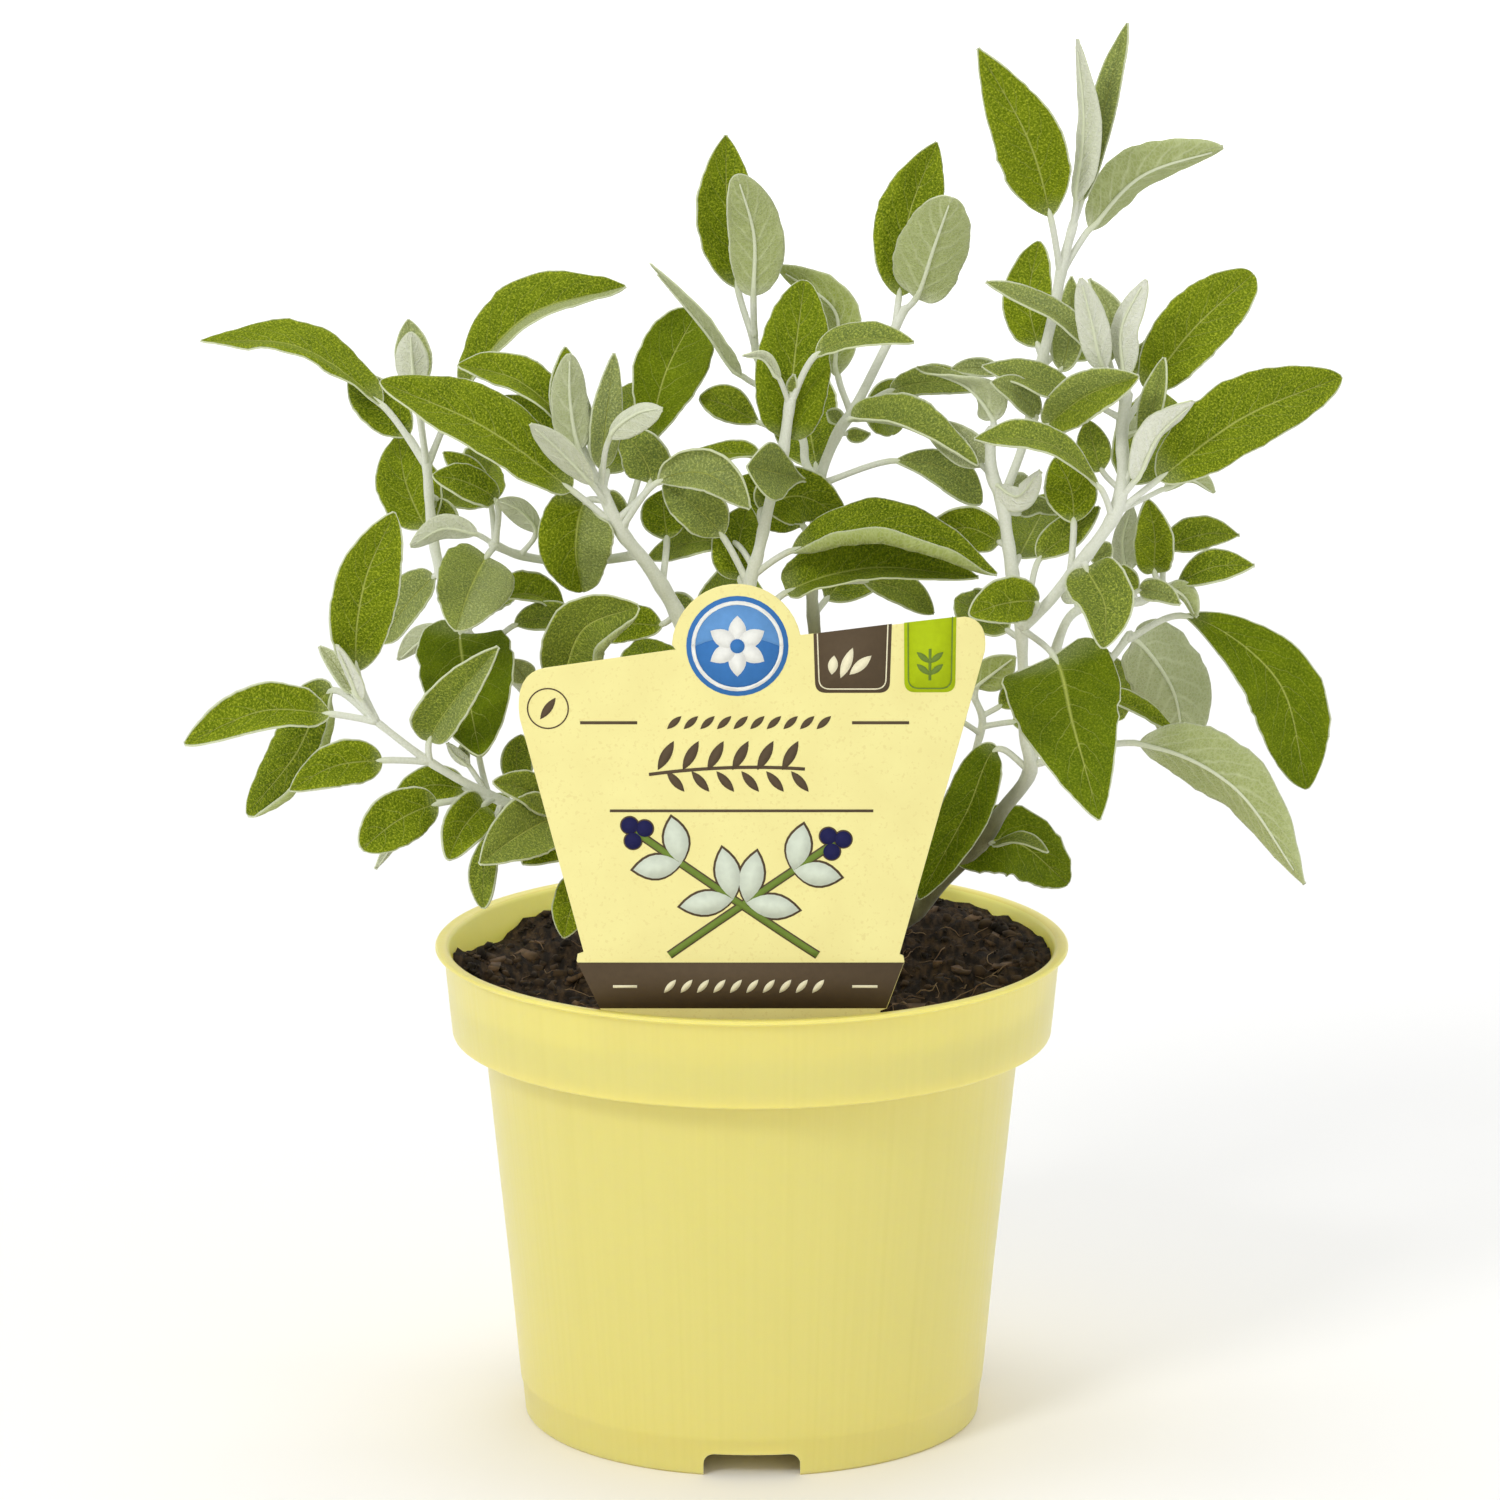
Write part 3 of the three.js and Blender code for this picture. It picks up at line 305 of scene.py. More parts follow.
plastic = Finish("pale yellow plastic", POT_COLOUR, 0.3, **{
    "Specular IOR Level": 0.45, "Subsurface Weight": 0.6,
    "Subsurface Radius": (0.006, 0.005, 0.0018), "Subsurface Scale": 1.0})
where = plastic.place()
parts = plastic.add("SeparateXYZ", {"Vector": where})
turn = plastic.calc("ARCTAN2", parts["X"], parts["Y"])
around = plastic.add("CombineXYZ", {"X": turn, "Y": parts["Z"]})["Vector"]
flow = plastic.noise(plastic.stretched(around, (38, 9, 1)), 1)
grain = plastic.noise(where, 2600, 3)
flowing = plastic.mixed(plastic.ranged(flow, 0.4, 0.75, to_high=0.4), POT_COLOUR, POT_DEEP_COLOUR)
level = plastic.add("VectorMath", {0: where, 1: (1, 1, 0)}, operation="MULTIPLY")["Vector"]
from_axis = plastic.add("VectorMath", {0: level}, operation="LENGTH")["Value"]
# Painted light: the inside of the wall above the collar foot gets a lighter colour that stands for light
# shining through the thin plastic.
mid_wall = plastic.ranged(parts["Z"], COLLAR_FOOT_Z * MM, (POT_H - LIP_H) * MM,
                          (COLLAR_FOOT_R - WALL_T * 0.6) * MM, (COLLAR_TOP_R - WALL_T * 0.6) * MM)
in_wall = plastic.calc("GREATER_THAN", plastic.calc("SUBTRACT", mid_wall, from_axis), 0)
above_collar_foot = plastic.calc("GREATER_THAN", parts["Z"], (COLLAR_FOOT_Z + 1.2) * MM)
painted_light_share = plastic.calc("MULTIPLY", in_wall, above_collar_foot)
plastic.shade({"Base Color": plastic.mixed(painted_light_share, flowing, POT_INSIDE_PAINTED_LIGHT_COLOUR),
               "Roughness": plastic.ranged(grain, 0, 1, 0.24, 0.4),
               "Normal": plastic.relief(grain, 0.12, 0.00005, plastic.relief(flow, 0.25, 0.00025))})

nursery_pot = add_piece("nursery_pot", pot_bm, [plastic], "pot")
nursery_pot.data.set_sharp_from_angle(angle=POT_SHARP)


# Compost: dark peat with fibres, crumbs and bits of bark, filled to just under the lip round
# the right side and lower at the front, with a clod against the wall at the far left. Its loose
# top is raised from the mesh by noise, and larger crumbs, roots and chips lie half sunk in it.
SOIL_Z = 84
SOIL_R = COLLAR_FOOT_R - WALL_T
CLEAR = 0.3
SOIL_STEPS = 200
SOIL_ROWS = 56
RIM_FLARE = (COLLAR_TOP_R - COLLAR_FOOT_R) / (POT_H - LIP_H - COLLAR_FOOT_Z - INSIDE_RISE)
CRUMBS = 1500
RIM_CRUMBS = 420
FIBRES = 150
FIBRE_STEPS = 6
BARK_CHIPS = 90
PEAT_COLOUR = (0.014, 0.0085, 0.0045, 1)
PEAT_LIGHT_COLOUR = (0.085, 0.050, 0.022, 1)
BARK_COLOUR = (0.20, 0.115, 0.055, 1)
ROOT_COLOUR = (0.30, 0.20, 0.10, 1)


def smoothstep(value, low, high):
    """A share that eases from 0 at the low value to 1 at the high one."""
    share = min(1, max(0, (value - low) / (high - low)))
    return share * share * (3 - 2 * share)


def bump(x, y):
    """The lie of the compost above its level, in millimetres."""
    reach = math.hypot(x, y)
    edge = 1 - min(1, reach / SOIL_R) ** 4
    waves = math.sin(x / 5.3 + 1) * math.cos(y / 4.7) + 0.6 * math.sin(x / 2.9 - y / 3.7)
    rise = 4 * smoothstep(y, -5, 40)
    heap = 4 * math.exp(-((x - 40) ** 2 + (y - 28) ** 2) / 500)
    clod = 5.5 * math.exp(-((x + 57) ** 2) / 50 - (y - 1) ** 2 / 110)
    dip = 2 * math.exp(-((x + 49) ** 2 + (y - 28) ** 2) / 60)
    full = smoothstep(reach, 30, 55) * smoothstep(x, 15, 45) * smoothstep(y, -30, -3)
    return 0.8 * edge * waves + (rise + heap) * (1 - full) + 5.7 * full + clod - dip


def rough(x, y):
    """The crumbled surface on top of the lie, in millimetres."""
    coarse = noise.fractal(Vector((x / 6, y / 6, 0)), 1, 2, 4)
    lumps = noise.voronoi(Vector((x / 3.1, y / 3.1, 5)))[0][0]
    small_lumps = noise.voronoi(Vector((x / 1.5, y / 1.5, 9)))[0][0]
    return 1.0 * coarse + 1.5 * (0.45 - lumps) + 0.8 * (0.4 - small_lumps)


soil_side = [(max(0, r - CLEAR), z + CLEAR) for r, z in reversed(pot_inside)]
soil_top = [((SOIL_R - CLEAR) * (1 - i / SOIL_ROWS), SOIL_Z) for i in range(SOIL_ROWS + 1)]
soil_bm = spun(soil_side + soil_top, SOIL_STEPS)
for vert in soil_bm.verts:
    x, y, z = vert.co / MM
    if z > SOIL_Z - CLEAR:
        reach = math.hypot(x, y)
        settle = 1 - 0.35 * (reach / SOIL_R) ** 8
        top = SOIL_Z + bump(x, y) + settle * rough(x, y)
        widen = 1 + RIM_FLARE * (top - COLLAR_FOOT_Z - INSIDE_RISE) / SOIL_R * smoothstep(reach, 42, 55)
        vert.co = Vector((x * widen, y * widen, top)) * MM

peat = Finish("peat compost", PEAT_COLOUR, 0.95, **{"Specular IOR Level": 0.25})
where = peat.place()
fibres = peat.noise(peat.stretched(where, (900, 220, 600), (0.3, 0.2, 0.8)), 1, 5)
clods = peat.noise(where, 320, 8, 0.7)
peat.shade({"Base Color": peat.mixed(peat.ranged(fibres, 0.42, 0.72), PEAT_COLOUR, PEAT_LIGHT_COLOUR),
            "Normal": peat.relief(clods, 0.9, 0.0009)})
add_piece("compost", soil_bm, [peat], "soil")


def on_soil(draw, reach=SOIL_R - 2, inner=0):
    """A drawn place on the compost between two radii, in millimetres."""
    radius = math.sqrt(draw.uniform(inner ** 2, reach ** 2))
    angle = draw.uniform(0, math.tau)
    x = radius * math.cos(angle)
    y = radius * math.sin(angle)
    return Vector((x, y, SOIL_Z + bump(x, y) + rough(x, y)))


def grainy(name, dark, light, stops, roughness, scale, detail=2, relief=None):
    """Loose matter that changes between two colours from grain to grain."""
    bits = Finish(name, light, roughness)
    grains = bits.noise(bits.place(), scale, detail)
    tint = bits.add("ValToRGB", {"Fac": grains})["Color"]
    for stop, colour, position in zip(tint.node.color_ramp.elements, (dark, light), stops):
        stop.color = colour
        stop.position = position
    bits.shade({"Base Color": tint})
    if relief:
        bits.shade({"Normal": bits.relief(grains, 1, relief)})
    return bits


draw = random.Random(4)
crumb_bm = bmesh.new()
for i in range(CRUMBS + RIM_CRUMBS):
    size = 0.35 + 1.5 * draw.random() ** 4
    at_rim = i >= CRUMBS
    size = min(size, 1.1) if at_rim else size
    spin = Matrix.Rotation(draw.uniform(0, math.tau), 4, Vector((draw.random(), draw.random(), 1)))
    stretch = Matrix.Diagonal((size, size * draw.uniform(0.6, 1), size * draw.uniform(0.5, 0.8), 1))
    lie = on_soil(draw, SOIL_R - 1.2, SOIL_R - 4) if at_rim else on_soil(draw)
    place = Matrix.Scale(MM, 4) @ Matrix.Translation(lie) @ spin @ stretch
    crumb = bmesh.ops.create_icosphere(crumb_bm, subdivisions=1, radius=1, matrix=place)
    for vert in crumb["verts"]:
        vert.co += Vector([draw.uniform(-0.22, 0.22) * size * MM for _ in range(3)])
crumb = grainy("peat crumbs", PEAT_COLOUR, PEAT_LIGHT_COLOUR, (0.4, 0.62), 0.95, 240, 4, 0.0004)
add_piece("compost_crumbs", crumb_bm, [crumb])

bark_bm = bmesh.new()
for _ in range(BARK_CHIPS):
    long = draw.uniform(2, 6.5)
    flat = Matrix.Rotation(draw.uniform(0, math.tau), 4, "Z") @ Matrix.Rotation(
        draw.uniform(-0.5, 0.5), 4, "X")
    stretch = Matrix.Diagonal((long, long * draw.uniform(0.25, 0.5), 0.8, 1))
    chip = bmesh.ops.create_cube(bark_bm, size=1, matrix=Matrix.Scale(MM, 4) @ Matrix.Translation(
        on_soil(draw, SOIL_R - 6)) @ flat @ stretch)
    for vert in chip["verts"]:
        vert.co += Vector([draw.uniform(-0.12, 0.12) * long * MM for _ in range(3)]) * 0.8


def tube(bm, centres, radii, sides, shares=None):
    """A round rod along the centres, closed at both ends. Its points may carry named shares."""
    rows = len(centres)
    grid = bmesh.ops.create_grid(bm, x_segments=sides, y_segments=rows - 1, size=1)
    verts = sorted(grid["verts"], key=lambda v: (round(v.co.y, 6), v.co.x))
    forward = (centres[1] - centres[0]).normalized()
    side = forward.orthogonal().normalized()
    for i in range(rows):
        ahead = centres[min(i + 1, rows - 1)] - centres[max(i - 1, 0)]
        forward = ahead.normalized()
        side = (side - forward * side.dot(forward)).normalized()
        other = forward.cross(side)
        for j in range(sides + 1):
            turn = -j / sides * math.tau
            arm = side * math.cos(turn) + other * math.sin(turn)
            vert = verts[i * (sides + 1) + j]
            vert.co = (centres[i] + arm * radii[i]) * MM
            for name, values in (shares or {}).items():
                vert[bm.verts.layers.float[name]] = values[i]
    bmesh.ops.remove_doubles(bm, verts=verts, dist=1e-6)
    verts = [v for v in verts if v.is_valid]
    ends = {e for v in verts for e in v.link_edges if e.is_boundary}
    bmesh.ops.holes_fill(bm, edges=list(ends), sides=sides)
    return {f for v in verts for f in v.link_faces}


for _ in range(FIBRES):
    start = on_soil(draw, SOIL_R - 4)
    way = draw.uniform(0, math.tau)
    long = draw.uniform(3, 9)
    bend = draw.uniform(-0.3, 0.3)
    centres = [start]
    for _ in range(FIBRE_STEPS):
        way += bend
        x = centres[-1].x + long / FIBRE_STEPS * math.cos(way)
        y = centres[-1].y + long / FIBRE_STEPS * math.sin(way)
        keep = min(1, (SOIL_R - 1) / max(1, math.hypot(x, y)))
        x, y = x * keep, y * keep
        centres.append(Vector((x, y, SOIL_Z + bump(x, y) + rough(x, y) + 0.3)))
    thick = draw.uniform(0.09, 0.17)
    pale = draw.random() < 0.6
    radii = [thick * (1 - i / FIBRE_STEPS / 2) for i in range(FIBRE_STEPS + 1)]
    for face in tube(bark_bm, centres, radii, 5):
        face.material_index = int(pale)
bark = grainy("bark and root bits", PEAT_LIGHT_COLOUR, BARK_COLOUR, (0.38, 0.66), 0.85, 420, 6, 0.0003)
root = grainy("fine roots", BARK_COLOUR, ROOT_COLOUR, (0.4, 0.6), 0.8, 260)
add_piece("bark_and_root_bits", bark_bm, [bark, root])


# Plant tag: a die-cut pale yellow card with rounded top corners, a domed tab and two small
# ears low down, pushed upright into the compost in front of the stems. Its front is printed
# in brown, green and blue with corner tabs, a round badge, a band and plain leaf ornaments.
TAG_FRONT_Y = -48.4
TAG_T = 0.8
TAG_EDGE = 0.18
TAG_SHARP = math.radians(60)
INK_T = 0.05
CARD_COLOUR = (0.90, 0.82, 0.33, 1)
CARD_FLECK_COLOUR = (0.78, 0.66, 0.24, 1)
BROWN_INK = (0.102, 0.070, 0.038, 1)
GREEN_INK = (0.42, 0.54, 0.002, 1)
BLUE_INK = (0.045, 0.19, 0.50, 1)
LIGHT_BLUE_INK = (0.13, 0.32, 0.64, 1)
DARK_BLUE_INK = (0.012, 0.012, 0.075, 1)
WHITE_INK = (0.86, 0.86, 0.80, 1)
PALE_LEAF_INK = (0.68, 0.74, 0.60, 1)
STALK_INK = (0.16, 0.24, 0.035, 1)
CREAM_INK = (0.88, 0.82, 0.56, 1)


def quad(start, control, end, steps=8):
    """Points of a quadratic curve after its start."""
    points = []
    for i in range(1, steps + 1):
        t = i / steps
        points.append(tuple((1 - t) ** 2 * a + 2 * t * (1 - t) * b + t * t * c
                            for a, b, c in zip(start, control, end)))
    return points


def arc(centre, radius, start, end, steps=20):
    """Points of an arc, with its angles in radians."""
    return [(centre[0] + radius * math.cos(start + (end - start) * i / steps),
             centre[1] + radius * math.sin(start + (end - start) * i / steps))
            for i in range(steps + 1)]


tag_outline = ([(-24, 77), (-27.5, 91), (-31.9, 100.4), (-31.7, 101.6), (-30.6, 102),
                (-41.9, 145.5)]
               + quad((-41.9, 145.5), (-43, 153.8), (-37.3, 154.8))
               + [(-13.7, 158.2)] + arc((-2.7, 158.5), 11.7, math.pi - 0.05, 0.2)
               + [(38.4, 164.2)] + quad((38.4, 164.2), (42.6, 163.6), (42, 158))
               + [(26.9, 101.6), (27.6, 101.3), (27.8, 100.2), (24.6, 91.4), (23.5, 91), (21, 77)])


def sheet(bm, outline, front, thickness):
    """A flat upright plate from (x, z) points in millimetres, with its face at the given y."""
    verts = [bm.verts.new((x * MM, front * MM, z * MM)) for x, z in outline]
    face = bm.faces.new(verts)
    face.normal_update()
    if face.normal.y > 0:
        face.normal_flip()
    raised = bmesh.ops.extrude_face_region(bm, geom=[face])
    for vert in [g for g in raised["geom"] if isinstance(g, bmesh.types.BMVert)]:
        vert.co.y += thickness * MM
    bmesh.ops.recalc_face_normals(bm, faces=bm.faces)
    return bm


tag_bm = sheet(bmesh.new(), tag_outline, TAG_FRONT_Y, TAG_T)
rim_edges = [e for e in tag_bm.edges if abs(e.verts[0].co.y - e.verts[1].co.y) < 1e-7]
bmesh.ops.bevel(tag_bm, geom=rim_edges, offset=TAG_EDGE * MM, offset_type="OFFSET", segments=2,
                profile=0.5, affect="EDGES", material=-1)

card = Finish("speckled card", CARD_COLOUR, 0.55)
where = card.place()
clouds = card.noise(where, 120, 4)
flecks = card.calc("MAXIMUM", card.ranged(card.noise(where, 1500, 2), 0.58, 0.68, to_high=0.5),
                   card.ranged(clouds, 0.35, 0.75, to_high=0.3))
card.shade({"Base Color": card.mixed(flecks, CARD_COLOUR, CARD_FLECK_COLOUR),
            "Normal": card.relief(clouds, 0.15, 0.00005)})
plant_tag = add_piece("plant_tag_card", tag_bm, [card], "plant_tag")
plant_tag.data.set_sharp_from_angle(angle=TAG_SHARP)


def ink_finish(name, colour):
    """Printing ink that is a little uneven where it sits on the card."""
    ink = Finish(name, colour, 0.7, **{"Specular IOR Level": 0.2})
    unevenness = ink.ranged(ink.noise(ink.place(), 900, 3), 0, 1, 0.9, 1.12)
    ink.shade({"Base Color": ink.add("HueSaturation", {"Color": colour, "Value": unevenness})["Color"]})
    return ink


def print_piece(name, ink, outlines, layer=1):
    """Printed shapes of one ink, each a thin film on the card's front."""
    bm = bmesh.new()
    for i, outline in enumerate(outlines):
        film = bmesh.new()
        sheet(film, outline, TAG_FRONT_Y - (layer + 0.01 * i) * INK_T, INK_T * (layer - 0.2))
        mesh = bpy.data.meshes.new("film")
        film.to_mesh(mesh)
        film.free()
        bm.from_mesh(mesh)
        bpy.data.meshes.remove(mesh)
    return add_piece(name, bm, [ink])


def bar(left, low, right, high):
    return [(left, low), (right, low), (right, high), (left, high)]


def disc(centre, radius):
    return arc(centre, radius, 0, math.tau, 40)[:-1]


def ring(centre, radius, width):
    """A printed ring as two halves."""
    return [arc(centre, radius, start, start + math.pi)
            + arc(centre, radius - width, start + math.pi, start) for start in (0, math.pi)]


def leaf_mark(foot, tip, width):
    """A pointed oval from its foot to its tip."""
    foot, tip = Vector(foot), Vector(tip)
    out = (tip - foot).orthogonal().normalized() * width
    middle = (foot + tip) / 2
    return quad(foot, middle + out, tip) + quad(tip, middle - out, foot)


def stroke(points, width):
    """A line of even width through the points."""
    points = [Vector(p) for p in points]
    left, right = [], []
    for i, point in enumerate(points):
        along = (points[min(i + 1, len(points) - 1)] - points[max(i - 1, 0)]).normalized()
        out = Vector((-along.y, along.x)) * width / 2
        left.append(point + out)
        right.append(point - out)
    return left + right[::-1]


def hanging_tab(left, right, low, top_left, top_right, taper):
    """A tab that hangs from the card's top edge and has rounded lower corners."""
    return ([(left - taper, top_left), (left, low + 2)]
            + quad((left, low + 2), (left, low), (left + 2, low))
            + [(right - 2, low)] + quad((right - 2, low), (right, low), (right, low + 2))
            + [(right + taper, top_right)])


brown_ink = ink_finish("brown ink", BROWN_INK)
green_ink = ink_finish("green ink", GREEN_INK)
blue_ink = ink_finish("blue ink", BLUE_INK)
light_blue_ink = ink_finish("light blue ink", LIGHT_BLUE_INK)
dark_blue_ink = ink_finish("dark blue ink", DARK_BLUE_INK)
white_ink = ink_finish("white ink", WHITE_INK)
pale_leaf_ink = ink_finish("pale leaf ink", PALE_LEAF_INK)
stalk_ink = ink_finish("stalk green ink", STALK_INK)
cream_ink = ink_finish("cream ink", CREAM_INK)

BADGE = (-2.6, 158.9)
BADGE_R = 9.2
LIGHT_R = 7.6
petals = [leaf_mark(BADGE, (BADGE[0] + 5.6 * math.sin(turn), BADGE[1] + 5.6 * math.cos(turn)), 3.2)
          for turn in (i * math.tau / 6 for i in range(6))]
badge_light = arc(BADGE, LIGHT_R, 0, math.pi, 24) + quad(
    (BADGE[0] - LIGHT_R, BADGE[1]), (BADGE[0], BADGE[1] + 3.4), (BADGE[0] + LIGHT_R, BADGE[1]))[:-1]
print_piece("blue_badge", blue_ink, [disc(BADGE, BADGE_R)])
print_piece("badge_light", light_blue_ink, [badge_light], layer=2)
print_piece("badge_ring_and_flower", white_ink, ring(BADGE, 8.3, 0.7) + petals, layer=3)
print_piece("badge_eye", blue_ink, [disc(BADGE, 1.3)], layer=4)

BROWN_TAB = (11.4, 24.9, 150.3, 161.2, 163.0, 0.3)
GREEN_TAB = (27.5, 36.7, 150.4, 163.2, 164.3, 0.1)
leaf_row = [(-17 + 4.5 * i, 134.6) for i in range(7)]
title_leaves = []
for i, (x, z) in enumerate(leaf_row[:-1]):
    title_leaves += [leaf_mark((x, z + 1.4), (x + 2.9, z + 6.8), 1.9),
                     leaf_mark((x + 1.6, z + 1.2), (x + 4.8, z - 2.6), 1.6)]
title_stem = [(-18.6, 135.2)] + quad((-18.6, 135.2), (-4, 137.2), (9.6, 136.2), 12)
small_marks = [leaf_mark((x - 1.3, 143.6), (x + 1.3, 146), 1.2) for x in range(-14, 15, 3)]
print_piece("brown_printing", brown_ink,
            [[(-31.8, 100.1), (-27.7, 91.5), (24.5, 91.5), (27.7, 100.1)], hanging_tab(*BROWN_TAB),
             stroke(title_stem, 0.6), bar(-25.7, 128.2, 22, 128.7)]
            + [bar(x, 144.5, x + 10.3, 145.05) for x in (-31, 18.1)]
            + ring((-36.8, 147.4), 3.8, 0.25) + [leaf_mark((-38.2, 145.4), (-35.4, 149.4), 1.5)]
            + title_leaves + small_marks)
print_piece("green_printing", green_ink, [hanging_tab(*GREEN_TAB)])
tab_lines = []
for left, right, low, top_left, top_right, taper in (BROWN_TAB, GREEN_TAB):
    line = hanging_tab(left + 0.7, right - 0.7, low + 0.7, top_left, top_right, taper)
    tab_lines.append(stroke(line, 0.22))
print_piece("brown_tab_line", cream_ink, [tab_lines[0]]
            + [leaf_mark((16 + x, 153 + abs(x) * 0.4), (18.2 + 2.1 * x, 158.6 - abs(x) * 0.9), 1.8)
               for x in (-1.6, 0, 1.6)], layer=2)
print_piece("green_tab_line", stalk_ink,
            [tab_lines[1], stroke([(32.1, 152.6), (32.1, 158.4)], 0.5)]
            + [leaf_mark((32.1, z), (32.1 + side * 2.4, z + 2), 1.1)
               for z in (153.6, 155.8) for side in (-1, 1)], layer=2)
print_piece("band_marks", cream_ink,
            [bar(-25.3, 95.35, -20.9, 95.85), bar(18.3, 95.35, 22.9, 95.85)]
            + [leaf_mark((x, 94.4), (x + 2.2, 96.9), 1.1) for x in range(-16, 14, 3)], layer=2)

# Two crossed sprigs with pale leaves and dark berries, outlined in brown.
SPRIGS = (((-15, 101.5), (-6, 108), (15, 122.5)), ((12, 101.5), (2, 108), (-21, 124.5)))
outlines, pale_leaves, stems, berries = [], [], [], []
for foot, control, tip in SPRIGS:
    line = [Vector(foot)] + [Vector(p) for p in quad(foot, control, tip, 16)]
    stems.append(stroke(line, 1.1))
    outlines.append(stroke(line, 1.6))
    for i in (9, 13):
        along = (line[i + 1] - line[i - 1]).normalized()
        for side in (1, -1):
            lean = (along * 0.8 + Vector((-along.y, along.x)) * side * 0.75).normalized()
            pale_leaves.append(leaf_mark(line[i], line[i] + lean * (12 - i / 4), 4.4))
            outlines.append(leaf_mark(line[i] - lean * 0.4, line[i] + lean * (12.6 - i / 4), 5.2))
    for turn in (0.4, 2.3, 4.4):
        place = (tip[0] + 1.7 * math.cos(turn), tip[1] + 1.7 * math.sin(turn))
        berries.append(disc(place, 1.5))
        outlines.append(disc(place, 1.75))
print_piece("sprig_outlines", brown_ink, outlines)
print_piece("sprig_stems", stalk_ink, stems, layer=2)
print_piece("sprig_leaves", pale_leaf_ink, pale_leaves, layer=3)
print_piece("sprig_berries", dark_blue_ink, berries, layer=4)
